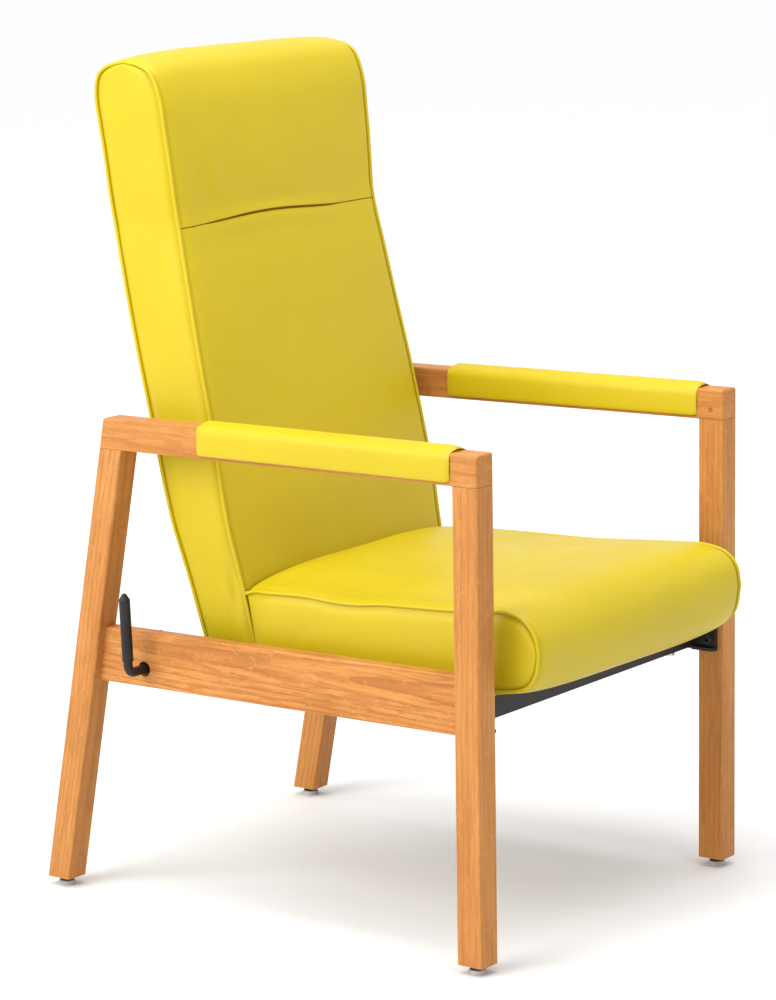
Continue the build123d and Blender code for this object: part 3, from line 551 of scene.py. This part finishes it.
def add_back_details(cushion, strip, sides):
    """Seam edges, unevenness, faint creases on the head and the dent by the seat."""
    x = cushion.strip[..., 0]
    z = cushion.strip[..., 2]
    seam_distance = cushion.half * (1 - np.abs(cushion.across))[None, :]
    front = (cushion.rho < 1)[:, None]
    height = near_seam(seam_distance, STRIP_PUFF)
    height = height + 0.7 * ripple(x, z, 3) * (1 - bell(seam_distance, 14.0))
    top = bell(cushion.rho - 1, 0.055)[:, None]
    height = height + BACK_TOP_CROWN * top * (1 - cushion.across**6)[None, :]
    crease = bell(x + 148 + 0.25 * (z - 900), 7.0) * bell(z - 915, 30.0)
    crease_two = bell(x + 128 + 0.1 * (z - 900), 9.0) * bell(z - 930, 40.0)
    height = height + front * (1.3 * crease_two - 1.7 * crease)
    height = height * (cushion.rho < 2)[:, None]
    strip += cushion.normal * height[..., None]
    for side, sign in ((0, -1), (1, 1)):
        y, z = cushion.sides[side, ..., 1], cushion.sides[side, ..., 2]
        edge = panel_edge(cushion, side)
        out = near_seam(edge, SIDE_PUFF) + 0.6 * ripple(y, z, 7 + side) * (1 - bell(edge, 10.0))
        dent = bell(y - DENT_Y - 0.15 * (z - FOLD_Z), 5.0) * bell(z - FOLD_Z - 5, 26.0)
        ridge = bell(y - RIDGE_Y - 0.2 * (z - FOLD_Z), 7.0) * bell(z - FOLD_Z, 28.0)
        out = out + (RIDGE_HEIGHT * ridge - DENT_DEPTH * dent) * (1 - bell(edge, 4.0))
        sides[side, 1:-1, 1:-1, 0] += sign * out[1:-1, 1:-1]


def make_back():
    seam = seam_share()
    up, wide, deep = BACK_GRID
    coarse = back_grid(np.linspace(0, 1, up), np.linspace(-1, 1, wide), np.linspace(0, 1, deep))
    x, z = coarse.strip[..., 0], coarse.strip[..., 2]
    held = np.zeros((coarse.rows, coarse.cols), bool)
    held[:, 0] = held[:, -1] = True
    held[coarse.rho >= 2] = True
    seam_row = int(np.argmin(np.abs(coarse.rho - seam)))
    held[seam_row] |= pocket_open(x[seam_row]) < 0.15
    moves = swollen(coarse, "back_swell", BACK_CROWN, BACK_SIDE_CROWN, held)
    behind_seat = smooth_step(z, 430, 540)
    tight_rear = 1 - 0.72 * smooth_step(coarse.rho, 0.97, 1.08)[:, None]
    moves[0][...] *= (behind_seat * tight_rear)[..., None]

    spaced = np.linspace(0, 1, 112)
    rows = seam + np.array(POCKET_ROWS) / BACK_EDGE_LENGTH
    spaced = spaced[(spaced < rows[0] - 0.004) | (spaced > rows[-1] + 0.004)]
    shares = np.sort(np.concatenate([spaced, rows]))
    across = 2 * graded(436.0, 1.3, 8.0) - 1
    fine = back_grid(shares, across, graded(86.0, 1.3, 8.0))
    strip_move, side_move = fine.carry(moves, coarse)
    strip = fine.strip + strip_move
    sides = fine.sides + side_move
    add_back_details(fine, strip, sides)
    strip[..., 2] = np.maximum(strip[..., 2], BACK_BOTTOM + 0.3)
    add_pocket(fine, strip, seam)
    cushion = add_mesh("back_cushion", to_frame(fine.vertices(strip, sides)), fine.faces())
    subdivide(cushion)
    cords = piping("back_piping", fine)
    return cushion, cords


# ================================================================ seat cushion
def seat_edge(right, left):
    curves = {-1: curve_through(right), 1: curve_through(left)}
    return lambda share, side: curves[side](share)


def seat_half(yz):
    pinch = SEAT_REAR_PINCH * smooth_step(yz[..., 0], *SEAT_PINCH_Y)
    return SEAT_HALF - CORD_LIFT - pinch


def seat_grid(shares, across, deep):
    under = seat_edge(SEAT_UNDER_RIGHT, SEAT_UNDER_LEFT)
    top = seat_edge(SEAT_TOP_RIGHT, SEAT_TOP_LEFT)
    return Cushion(under, top, seat_half, shares, across, deep)


def add_seat_details(cushion, strip, sides):
    x, y, z = np.moveaxis(cushion.strip, 2, 0)
    seam_distance = cushion.half * (1 - np.abs(cushion.across))[None, :]
    top = (cushion.rho > 0.9)[:, None]
    height = near_seam(seam_distance, STRIP_PUFF)
    height = height + 0.8 * top * ripple(x, y, 11) * (1 - bell(seam_distance, 14.0))
    low_nose = bell(z - 354, 22) * bell(y + 12, 34) * (1 - cushion.across**4)[None, :]
    height = height + SEAT_LOW_NOSE * low_nose
    strip += cushion.normal * height[..., None]
    pressed = smooth_step(y, 240, 405) * smooth_step(z, 345, 419) * (cushion.rho > 1)[:, None]
    strip[..., 2] += SEAT_REAR_CROWN * pressed * (1 - cushion.across**4)[None, :]
    for side, sign in ((0, -1), (1, 1)):
        y, z = cushion.sides[side, ..., 1], cushion.sides[side, ..., 2]
        edge = panel_edge(cushion, side)
        out = near_seam(edge, SIDE_PUFF) + 0.7 * ripple(y, z, 17 + side) * (1 - bell(edge, 10.0))
        fold = bell((y - 305) + 0.9 * (z - 395), 7.0) * bell(z - 392, 24.0)
        sides[side, 1:-1, 1:-1, 0] += (sign * (out - 0.9 * fold))[1:-1, 1:-1]


def open_underside(cushion, strip):
    """Lifts the part of the underside that is hidden inside the seat board."""
    x, y, z = strip[..., 0], strip[..., 1], strip[..., 2]
    under = (cushion.rho < 0.85)[:, None]
    low = under & (y > 40)
    edge_z = np.minimum(z, UNDER_EDGE_Z)
    flat = edge_z + (UNDER_Z - edge_z) * smooth_step(SEAT_HALF - np.abs(x), 4, 14)
    strip[..., 2] = np.where(low, flat, z)
    inside = under & (np.abs(x) < MARGIN_X) & (y > MARGIN_Y[0]) & (y < MARGIN_Y[1])
    strip[..., 2] = np.where(inside, BOARD_INSIDE_Z, strip[..., 2])


def make_seat():
    up, wide, deep = SEAT_GRID
    coarse = seat_grid(np.linspace(0, 1, up), np.linspace(-1, 1, wide), np.linspace(0, 1, deep))
    y, z = coarse.strip[..., 1], coarse.strip[..., 2]
    held = np.zeros((coarse.rows, coarse.cols), bool)
    held[:, 0] = held[:, -1] = True
    held |= (coarse.rho < 0.9)[:, None] & (y > 30)
    moves = swollen(coarse, "seat_swell", SEAT_CROWN, SEAT_SIDE_CROWN, held)
    behind = (coarse.rho > 2)[:, None] * (1 - smooth_step(z, 395, 420))
    moves[0][...] *= (1 - 0.85 * behind)[..., None]

    across = 2 * graded(463.0, 1.3, 8.0) - 1
    fine = seat_grid(np.linspace(0, 1, 76), across, graded(90.0, 1.3, 8.0))
    strip_move, side_move = fine.carry(moves, coarse)
    strip = fine.strip + strip_move
    sides = fine.sides + side_move
    add_seat_details(fine, strip, sides)
    open_underside(fine, strip)
    cushion = add_mesh("seat_cushion", to_frame(fine.vertices(strip, sides)), fine.faces())
    subdivide(cushion)
    cords = piping("seat_piping", fine)
    return cushion, cords


# ================================================================ arm pads
def pad_section(side_out, top_out, lift):
    """Closed outline in (x, height over the arm's top): out over the pad and back under it."""
    half = ARM_HALF + side_out
    low = PAD_LOW + lift
    turn = np.radians(np.linspace(0, 90, 7))
    radius = min(PAD_ROUND, PAD_ROUND * (side_out + top_out) / (PAD_SIDE + PAD_TOP) + 3.0)
    arc_x = half - radius + radius * np.cos(turn)
    arc_z = top_out - radius + radius * np.sin(turn)
    right_side = [(ARM_HALF, low + 0.4), (half - 0.7, low), (half, low + 1.8)]
    right_side += [(half + 0.2, low + 6), (half + 0.5, -21.0), (half + 0.4, -15.0)]
    right_side += list(zip(arc_x, arc_z))
    flat = half - radius
    crowned = [(flat * share, top_out + PAD_CROWN * (1 - share**2)) for share in (0.8, 0.4, 0.0)]
    outer = right_side + crowned[:2]
    outer += [crowned[2]] + [(-x, z) for x, z in outer[::-1]]
    skin = ARM_HALF + 0.1
    inner = [(-skin, low + 3), (-skin, -2.0), (-skin + 2, 0.1), (0.0, 0.1), (skin - 2, 0.1), (skin, -2.0)]
    return outer + inner + [(skin, low + 3)]


def make_pad(side):
    """Vinyl over thin foam, wrapped over the arm; side is -1 for the right arm."""
    run = PAD_Y[1] - PAD_Y[0]
    end = np.array([0, 0.5, 1.5, 3, 5, 8, 12])
    steps = np.concatenate([end, np.linspace(20, run - 20, 40), run - end[::-1]])
    sections = []
    for step in steps:
        near_end = np.clip(1 - min(step, run - step) / PAD_END_ROUND, 0, 1)
        share = math.sqrt(1 - near_end**2)
        side_out = PAD_SKIN + (PAD_SIDE - PAD_SKIN) * share
        top_out = PAD_SKIN + (PAD_TOP - PAD_SKIN) * share
        section = pad_section(side_out, top_out, 2.2 * (1 - share))
        y = PAD_Y[0] + step
        wave = 0.25 * math.sin(step / 37.0) + 0.2 * math.sin(step / 19.0 + 1.0)
        top_z = ARM_TOP - ARM_FALL * y
        sections.append([(ARM_MID_X + x * (1 + 0.004 * wave), y, top_z + z + 0.3 * wave) for x, z in section])
    points = np.array(sections)
    count = points.shape[1]
    faces = []
    for i in range(len(steps) - 1):
        for k in range(count):
            a, b = i * count + k, i * count + (k + 1) % count
            faces.append((a, b, b + count, a + count))
    faces.append(tuple(range(count)))
    faces.append(tuple(reversed(range((len(steps) - 1) * count, len(steps) * count))))
    points = toe(points.reshape(-1, 3))
    if side > 0:
        points = points * np.array((-1, 1, 1))
        faces = [face[::-1] for face in faces]
    name = "arm_pad_right" if side < 0 else "arm_pad_left"
    return add_mesh(name, to_frame(points), faces)


def toe(points):
    """Turns points of the right side frame to its place, closing towards the rear."""
    x, y, z = (points + np.array((LEG_FACE_X, 0, 0))).T
    turned = (
        x * math.cos(TOE_IN) + y * math.sin(TOE_IN) - LEG_FACE_X,
        y * math.cos(TOE_IN) - x * math.sin(TOE_IN),
        z,
    )
    return np.stack(turned, axis=1)


# ================================================================ materials
class Shade:
    """Small helper for building one node material."""

    def __init__(self, name):
        self.material = bpy.data.materials.new(name)
        self.material.use_nodes = True
        self.tree = self.material.node_tree
        self.shader = self.tree.nodes["Principled BSDF"]

    def node(self, kind, inputs=(), **settings):
        made = self.tree.nodes.new("ShaderNode" + kind)
        for key, value in settings.items():
            setattr(made, key, value)
        for key, value in dict(inputs).items():
            self.feed(made.inputs[key], value)
        return made

    def feed(self, socket, value):
        if isinstance(value, bpy.types.NodeSocket):
            self.tree.links.new(value, socket)
        else:
            socket.default_value = value

    def set(self, **inputs):
        for key, value in inputs.items():
            self.feed(self.shader.inputs[key.replace("_", " ")], value)

    def math(self, operation, a, b=0.0):
        made = self.node("Math", operation=operation)
        self.feed(made.inputs[0], a)
        self.feed(made.inputs[1], b)
        return made.outputs[0]

    def noise(self, vector, scale, detail=2.0, roughness=0.5, distortion=0.0):
        inputs = {"Vector": vector, "Scale": scale, "Detail": detail, "Roughness": roughness}
        inputs["Distortion"] = distortion
        return self.node("TexNoise", inputs).outputs["Fac"]

    def between(self, value, low, high, to_low=0.0, to_high=1.0):
        inputs = {"Value": value, "From Min": low, "From Max": high, "To Min": to_low, "To Max": to_high}
        return self.node("MapRange", inputs, interpolation_type="SMOOTHSTEP").outputs["Result"]

    def mix(self, share, a, b):
        made = self.node("Mix", data_type="RGBA")
        self.feed(made.inputs[0], share)
        self.feed(made.inputs[6], a)
        self.feed(made.inputs[7], b)
        return made.outputs[2]

    def place(self, scale=(1, 1, 1), turn=(0, 0, 0)):
        """Object coordinates in metres, turned and scaled."""
        spot = self.node("TexCoord").outputs["Object"]
        turned = self.node("Mapping", {"Vector": spot, "Rotation": turn})
        return self.node("Mapping", {"Vector": turned.outputs[0], "Scale": scale}).outputs[0]

    def bump(self, height, distance, strength=1.0, normal=None):
        inputs = {"Height": height, "Distance": distance, "Strength": strength}
        if normal is not None:
            inputs["Normal"] = normal
        return self.node("Bump", inputs).outputs[0]


def rgb(red, green, blue):
    return (red, green, blue, 1.0)


def vinyl(name, tone=1.0, wear=1.0):
    """Smooth upholstery vinyl with a fine leather grain, handling marks, painted shade in its creases and a
    satin sheen.
    """
    s = Shade(name)
    spot = s.place()
    base = rgb(0.495 * tone, 0.376 * tone, 0.003)
    deep = rgb(0.46 * tone, 0.342 * tone, 0.002)
    pale = rgb(0.51 * tone, 0.394 * tone, 0.010)
    broad = s.noise(spot, 4.5, 3.0, 0.55)
    cloudy = s.noise(spot, 17.0, 4.0, 0.6)
    colour = s.mix(s.between(broad, 0.35, 0.7, 0.0, 0.5), base, deep)
    colour = s.mix(s.between(cloudy, 0.52, 0.75, 0.0, 0.35), colour, pale)
    marks = s.between(s.noise(spot, 260.0, 2.0, 0.5), 0.735, 0.80)
    where = s.between(s.noise(spot, 11.0, 2.0), 0.55, 0.68)
    marks = s.math("MULTIPLY", marks, where)
    colour = s.mix(s.math("MULTIPLY", marks, 0.4 * wear), colour, rgb(0.20, 0.15, 0.03))
    scuff = s.node("Mapping", {"Vector": spot, "Scale": (30.0, 30.0, 160.0), "Rotation": (0.3, 0.9, 0.4)})
    scuffs = s.between(s.noise(scuff.outputs[0], 1.0, 3.0), 0.64, 0.76, 0.0, 0.22 * wear)
    colour = s.mix(scuffs, colour, rgb(0.40, 0.31, 0.05))
    # painted shade: ambient occlusion darkens the vinyl towards a deep yellow in seams, beside the cords and
    # in the pocket
    open_air = s.node("AmbientOcclusion", {"Distance": CREASE_SHADE_REACH}, samples=6).outputs["AO"]
    crease = s.between(open_air, 0.35, 0.80, 0.55, 0.0)
    colour = s.mix(crease, colour, rgb(0.32 * tone, 0.22 * tone, 0.001))
    grain = s.node("TexVoronoi", {"Vector": spot, "Scale": 950.0}, feature="SMOOTH_F1").outputs["Distance"]
    fine = s.noise(spot, 420.0, 3.0, 0.6)
    height = s.math("ADD", s.math("MULTIPLY", grain, 0.6), fine)
    pull = s.noise(s.place((9.0, 9.0, 22.0)), 1.0, 3.0)
    soft = s.bump(pull, 0.0016, 0.5)
    s.set(Base_Color=colour, Normal=s.bump(height, 0.00012, 0.55, soft))
    s.set(Roughness=s.between(cloudy, 0.3, 0.7, 0.40, 0.52))
    s.shader.inputs["Specular IOR Level"].default_value = 0.22
    s.shader.inputs["Coat Weight"].default_value = 0.30
    s.shader.inputs["Coat IOR"].default_value = 1.35
    s.shader.inputs["Coat Roughness"].default_value = 0.45
    return s.material


def oak(name, along, heart, tone=1.0, contrast=1.0, ring=0.0065):
    """Solid oak: growth rings about a heart line, pores along the grain and ray flecks.

    along is the turn in radians that takes the grain to Z, and heart the ring centre's place."""
    s = Shade(name)
    spot = s.node("TexCoord").outputs["Object"]
    turned = s.node("Mapping", {"Vector": spot, "Rotation": along}).outputs[0]
    board = s.node("Mapping", {"Vector": turned, "Location": heart}).outputs[0]
    sway = s.noise(s.node("Mapping", {"Vector": board, "Scale": (9.0, 9.0, 2.2)}).outputs[0], 1.0, 2.0)
    ring_spot = s.node("Mapping", {"Vector": board, "Scale": (1.0, 1.0, 0.05)}).outputs[0]
    split = s.node("SeparateXYZ", {"Vector": ring_spot})
    squares = [s.math("POWER", split.outputs[k], 2.0) for k in (0, 1)]
    radial = s.math("SQRT", s.math("ADD", *squares))
    swayed = s.math("ADD", radial, s.math("MULTIPLY", sway, 0.022))
    swayed = s.math("ADD", swayed, s.math("MULTIPLY", split.outputs[2], 0.10))
    phase = s.math("FRACT", s.math("DIVIDE", swayed, ring))
    late = s.math("MULTIPLY", s.between(phase, 0.45, 0.95), s.between(phase, 0.985, 0.95))
    light = rgb(0.525 * tone, 0.228 * tone, 0.060 * tone)
    middle = rgb(0.45 * tone, 0.178 * tone, 0.041 * tone)
    dark = rgb(0.27 * tone, 0.092 * tone, 0.020 * tone)
    broad = s.noise(s.node("Mapping", {"Vector": board, "Scale": (26.0, 26.0, 4.0)}).outputs[0], 1.0, 3.0)
    colour = s.mix(s.between(broad, 0.3, 0.72), light, middle)
    colour = s.mix(s.math("MULTIPLY", late, 0.50 * contrast), colour, dark)
    streaks = s.node("Mapping", {"Vector": board, "Scale": (105.0, 105.0, 13.0)}).outputs[0]
    flame = s.noise(streaks, 1.0, 3.0, 0.6, 0.9)
    colour = s.mix(s.between(flame, 0.48, 0.60, 0.0, 0.38 * contrast), colour, dark)
    fibre = s.noise(s.node("Mapping", {"Vector": board, "Scale": (430.0, 430.0, 11.0)}).outputs[0], 1.0, 2.0)
    colour = s.mix(s.between(fibre, 0.40, 0.70, 0.0, 0.26 * contrast), colour, dark)
    pores = s.noise(s.node("Mapping", {"Vector": board, "Scale": (850.0, 850.0, 36.0)}).outputs[0], 1.0, 1.0)
    early = s.between(phase, 0.55, 0.1)
    pore_share = s.math("ADD", s.math("MULTIPLY", early, 0.75), 0.25)
    pores = s.math("MULTIPLY", s.between(pores, 0.60, 0.70), pore_share)
    colour = s.mix(s.math("MULTIPLY", pores, 0.42), colour, rgb(0.20, 0.085, 0.032))
    flecks = s.node("Mapping", {"Vector": board, "Scale": (45.0, 150.0, 90.0)}).outputs[0]
    flecks = s.between(s.noise(flecks, 1.0, 2.0, 0.5, 0.8), 0.58, 0.68, 0.0, 0.22)
    colour = s.mix(flecks, colour, rgb(0.60 * tone, 0.29 * tone, 0.09 * tone))
    edge = edge_wear(s, 0.0022)
    colour = s.mix(s.math("MULTIPLY", edge, 0.30), colour, rgb(0.50, 0.29, 0.15))
    rough = s.between(fibre, 0.3, 0.7, 0.36, 0.52)
    height = s.math("SUBTRACT", s.math("MULTIPLY", fibre, 0.25), pores)
    s.set(Base_Color=colour, Roughness=rough, Normal=s.bump(height, 0.00018, 0.6))
    s.shader.inputs["Specular IOR Level"].default_value = 0.15
    return s.material


def edge_wear(s, radius):
    """1 along the rubbed edges of a piece, broken up by noise."""
    round_normal = s.node("Bevel", {"Radius": radius}, samples=4).outputs[0]
    flat_normal = s.node("NewGeometry").outputs["Normal"]
    dot = s.node("VectorMath", operation="DOT_PRODUCT")
    s.feed(dot.inputs[0], round_normal)
    s.feed(dot.inputs[1], flat_normal)
    edge = s.between(dot.outputs["Value"], 0.995, 0.90)
    patchy = s.between(s.noise(s.place(), 55.0, 3.0), 0.40, 0.62)
    return s.math("MULTIPLY", edge, patchy)


def plain_wood(name, colour, dark, along):
    """Bare hardwood or ply with a fine straight grain."""
    s = Shade(name)
    grain = s.noise(s.place((600.0, 600.0, 14.0), along), 1.0, 3.0)
    broad = s.noise(s.place((24.0, 24.0, 3.0), along), 1.0, 2.0)
    share = s.math("MULTIPLY", s.between(grain, 0.35, 0.7), 0.6)
    share = s.math("ADD", share, s.between(broad, 0.35, 0.7, 0.0, 0.3))
    s.set(Base_Color=s.mix(share, colour, dark), Roughness=s.between(grain, 0.3, 0.7, 0.55, 0.7))
    s.set(Normal=s.bump(grain, 0.0002, 0.5))
    return s.material


def painted_steel():
    s = Shade("painted_steel")
    spot = s.place()
    orange = s.noise(spot, 700.0, 2.0)
    dust = s.between(s.noise(spot, 23.0, 4.0, 0.65), 0.5, 0.78, 0.0, 0.35)
    worn = edge_wear(s, 0.0012)
    colour = s.mix(dust, rgb(0.014, 0.010, 0.009), rgb(0.045, 0.034, 0.030))
    colour = s.mix(s.math("MULTIPLY", worn, 0.5), colour, rgb(0.16, 0.13, 0.11))
    s.shader.inputs["Specular IOR Level"].default_value = 0.28
    s.set(Base_Color=colour, Roughness=s.between(orange, 0.3, 0.7, 0.38, 0.55))
    s.set(Normal=s.bump(orange, 0.00012, 0.4))
    return s.material


def plated_steel():
    s = Shade("plated_steel")
    turned = s.noise(s.place((1800.0, 90.0, 90.0)), 1.0, 2.0)
    stain = s.noise(s.place(), 60.0, 3.0)
    colour = s.mix(s.between(stain, 0.45, 0.75), rgb(0.60, 0.59, 0.57), rgb(0.42, 0.39, 0.34))
    s.set(Base_Color=colour, Roughness=s.between(turned, 0.3, 0.7, 0.24, 0.40))
    s.set(Normal=s.bump(turned, 0.00005, 0.5))
    s.shader.inputs["Metallic"].default_value = 1.0
    return s.material


def moulded(name, colour, dark, rough):
    """Moulded plastic, rubber or fibre with a fine texture and rubbed edges."""
    s = Shade(name)
    fine = s.noise(s.place(), 400.0, 3.0)
    broad = s.noise(s.place(), 40.0, 3.0)
    mixed = s.mix(s.between(broad, 0.4, 0.7), colour, dark)
    worn = s.math("MULTIPLY", edge_wear(s, 0.0010), 0.4)
    lighter = tuple(min(1.0, 2.2 * c + 0.02) for c in colour[:3]) + (1.0,)
    s.set(Base_Color=s.mix(worn, mixed, lighter))
    s.set(Roughness=s.between(fine, 0.3, 0.7, rough - 0.06, rough + 0.08))
    s.set(Normal=s.bump(fine, 0.0001, 0.5))
    s.shader.inputs["Specular IOR Level"].default_value = 0.28
    return s.material


def floor_material():
    s = Shade("studio_floor")
    spot = s.place()
    specks = s.between(s.noise(spot, 48.0, 2.0), 0.735, 0.79, 0.0, 0.18)
    scuffs = s.between(s.noise(s.place((3.0, 12.0, 1.0), (0, 0, 0.6)), 1.0, 4.0), 0.62, 0.80, 0.0, 0.05)
    share = s.math("ADD", specks, scuffs)
    # painted shade: the floor is a darker grey within about 1.2 m of the middle, where the chair stands,
    # turning white by 3.5 m
    far = s.between(s.node("VectorMath", {0: spot}, operation="LENGTH").outputs["Value"], 1.2, 3.5)
    paper_shaded_near_chair = s.mix(far, rgb(0.765, 0.765, 0.765), rgb(0.99, 0.99, 0.99))
    s.set(Base_Color=s.mix(share, paper_shaded_near_chair, rgb(0.50, 0.52, 0.53)))
    # painted light: far out the floor glows with up to 0.10 emission
    s.set(Emission_Color=rgb(1.0, 1.0, 1.0), Emission_Strength=s.math("MULTIPLY", far, 0.10))
    s.set(Roughness=s.between(s.noise(spot, 8.0), 0.3, 0.7, 0.55, 0.75))
    s.shader.inputs["Specular IOR Level"].default_value = 0.2
    return s.material


def paint(obj, material):
    obj.data.materials.clear()
    obj.data.materials.append(material)


QUARTER = math.pi / 2
GRAIN_UP = (0.0, 0.0, 0.0)
GRAIN_REAR = (QUARTER, 0.0, 0.0)
GRAIN_ACROSS = (0.0, QUARTER, 0.0)
LEG_RAKE = math.atan(114.0 / 590.0)


def paint_wood():
    turns = {
        "front_leg": GRAIN_UP,
        "rear_leg": (-LEG_RAKE, 0.0, 0.0),
        "arm_rail": GRAIN_REAR,
        "side_rail": GRAIN_REAR,
    }
    hearts = {
        "front_leg": (0.19, 0.42, 0.1),
        "rear_leg": (0.20, -0.18, 0.3),
        "arm_rail": (0.24, 0.60, 0.2),
        "side_rail": (0.300, 0.347, 0.5),
    }
    tones = {"front_leg": 0.98, "rear_leg": 0.97, "arm_rail": 1.0, "side_rail": 1.08}
    contrasts = {"front_leg": 0.55, "rear_leg": 0.65, "arm_rail": 0.7, "side_rail": 1.15}
    for part, turn in turns.items():
        for number, side in enumerate(("right", "left")):
            x, y, z = hearts[part]
            heart = (x - 0.55 * number, y, z + 0.37 * number)
            name = f"{part}_{side}"
            paint(nodes[name], oak("oak_" + name, turn, heart, tones[part], contrasts[part]))
    paint(nodes["arm_pegs"], oak("oak_pegs", GRAIN_ACROSS, (0.1, 0.1, 0.0), 0.62))
    beech_light, beech_dark = rgb(0.62, 0.42, 0.25), rgb(0.45, 0.27, 0.14)
    for name, turn in (
        ("rail_dowels", GRAIN_REAR),
        ("back_stile_right", GRAIN_UP),
        ("back_stile_left", GRAIN_UP),
        ("back_bottom_rail", GRAIN_ACROSS),
        ("back_middle_rail", GRAIN_ACROSS),
        ("back_top_rail", GRAIN_ACROSS),
    ):
        paint(nodes[name], plain_wood("beech_" + name, beech_light, beech_dark, turn))
    ply_light, ply_dark = rgb(0.55, 0.40, 0.24), rgb(0.38, 0.24, 0.12)
    for name in ("seat_board", "back_panel"):
        paint(nodes[name], plain_wood("ply_" + name, ply_light, ply_dark, GRAIN_ACROSS))


def paint_hardware():
    black = painted_steel()
    for name in ("front_crossbar", "rear_crossbar", "crossbar_bolts", "lever_rod"):
        paint(nodes[name], black)
    for part in ("hinge_bracket", "hinge_plate"):
        for side in ("right", "left"):
            paint(nodes[f"{part}_{side}"], black)
    bright = plated_steel()
    for name in ("seat_bolts", "seat_washers", "hinge_pin_right", "hinge_pin_left", "hinge_pin_nuts"):
        paint(nodes[name], bright)
    for name in ("hinge_plate_screws", "clamp_washer", "clamp_nut", "clamp_bush", "glide_nails"):
        paint(nodes[name], bright)
    fibre = moulded("red_fibre", rgb(0.22, 0.085, 0.045), rgb(0.15, 0.05, 0.03), 0.6)
    for name in ("hinge_washers", "friction_washer"):
        paint(nodes[name], fibre)
    grey = moulded("grey_nylon", rgb(0.46, 0.45, 0.41), rgb(0.30, 0.29, 0.26), 0.45)
    for place in ("front", "rear"):
        for side in ("right", "left"):
            paint(nodes[f"{place}_glide_{side}"], grey)
    rubber = moulded("black_rubber", rgb(0.02, 0.02, 0.02), rgb(0.04, 0.038, 0.035), 0.8)
    paint(nodes["glide_cushions"], rubber)
    sleeve = moulded("grip_sleeve", rgb(0.010, 0.009, 0.008), rgb(0.020, 0.017, 0.015), 0.46)
    paint(nodes["lever_grip"], sleeve)


# ================================================================ stage
def make_floor():
    turns = np.linspace(0, math.tau, 64, endpoint=False)
    points = [(FLOOR_RADIUS * math.cos(t), FLOOR_RADIUS * math.sin(t), 0.0) for t in turns]
    floor = add_mesh("studio_floor", points, [tuple(range(len(points)))])
    paint(floor, floor_material())


def add_light(name, place, target, watts):
    data = bpy.data.lights.new(name, "AREA")
    data.shape = "RECTANGLE"
    data.size, data.size_y = SOFTBOX_SIZE
    data.energy = watts
    light = bpy.data.objects.new(name, data)
    light.location = place
    direction = Vector(target) - Vector(place)
    light.rotation_mode = "QUATERNION"
    light.rotation_quaternion = direction.to_track_quat("-Z", "Y")
    bpy.context.scene.collection.objects.link(light)


def light_stage():
    world = bpy.data.worlds.new("studio")
    world.use_nodes = True
    background = world.node_tree.nodes["Background"]
    background.inputs["Color"].default_value = rgb(0.985, 0.99, 1.0)
    background.inputs["Strength"].default_value = WORLD_STRENGTH
    bpy.context.scene.world = world
    add_light("left_softbox", *LEFT_SOFTBOX)
    add_light("top_softbox", *TOP_SOFTBOX)
    bpy.context.scene.view_settings.view_transform = "Standard"


def make_camera():
    data = bpy.data.cameras.new("camera")
    data.sensor_width = 36.0
    data.lens = CAMERA_LENS
    data.clip_start, data.clip_end = 0.1, 100.0
    camera = bpy.data.objects.new("camera", data)
    level = math.cos(CAMERA_ELEVATION)
    right, near = math.sin(CAMERA_AZIMUTH) * level, -math.cos(CAMERA_AZIMUTH) * level
    away = Vector((right, near, math.sin(CAMERA_ELEVATION)))
    camera.rotation_mode = "QUATERNION"
    facing = (-away).to_track_quat("-Z", "Y")
    camera.rotation_quaternion = facing @ Quaternion((0, 0, 1), CAMERA_ROLL)
    camera.location = CAMERA_PLACE
    bpy.context.scene.collection.objects.link(camera)
    bpy.context.scene.camera = camera


# ================================================================ the chair
nodes = frame["nodes"]
make_camera()
light_stage()
make_floor()
paint_wood()
paint_hardware()

back_vinyl = vinyl("vinyl_back")
seat_vinyl = vinyl("vinyl_seat")
# painted highlight: the cord vinyl is a 3 % lighter copy of the vinyl, for the light the cords catch
lit_cord_vinyl = vinyl("vinyl_cord_painted_lighter", 1.03)
pad_vinyl = vinyl("vinyl_pad", 0.98, 2.0)

back_cushion, back_piping = make_back()
paint(back_cushion, back_vinyl)
paint(back_piping, lit_cord_vinyl)
seat_cushion, seat_piping = make_seat()
paint(seat_cushion, seat_vinyl)
paint(seat_piping, lit_cord_vinyl)

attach(back_cushion, "back")
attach(back_piping, "back")
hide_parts("back_cover", "back_foam", "head_foam")
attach(seat_cushion, "frame")
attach(seat_piping, "frame")
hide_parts("seat_cover", "seat_foam")

for side_sign, side_name in ((-1, "right"), (1, "left")):
    pad = make_pad(side_sign)
    paint(pad, pad_vinyl)
    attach(pad, "frame")
    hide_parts("arm_cover_" + side_name, "arm_foam_" + side_name)
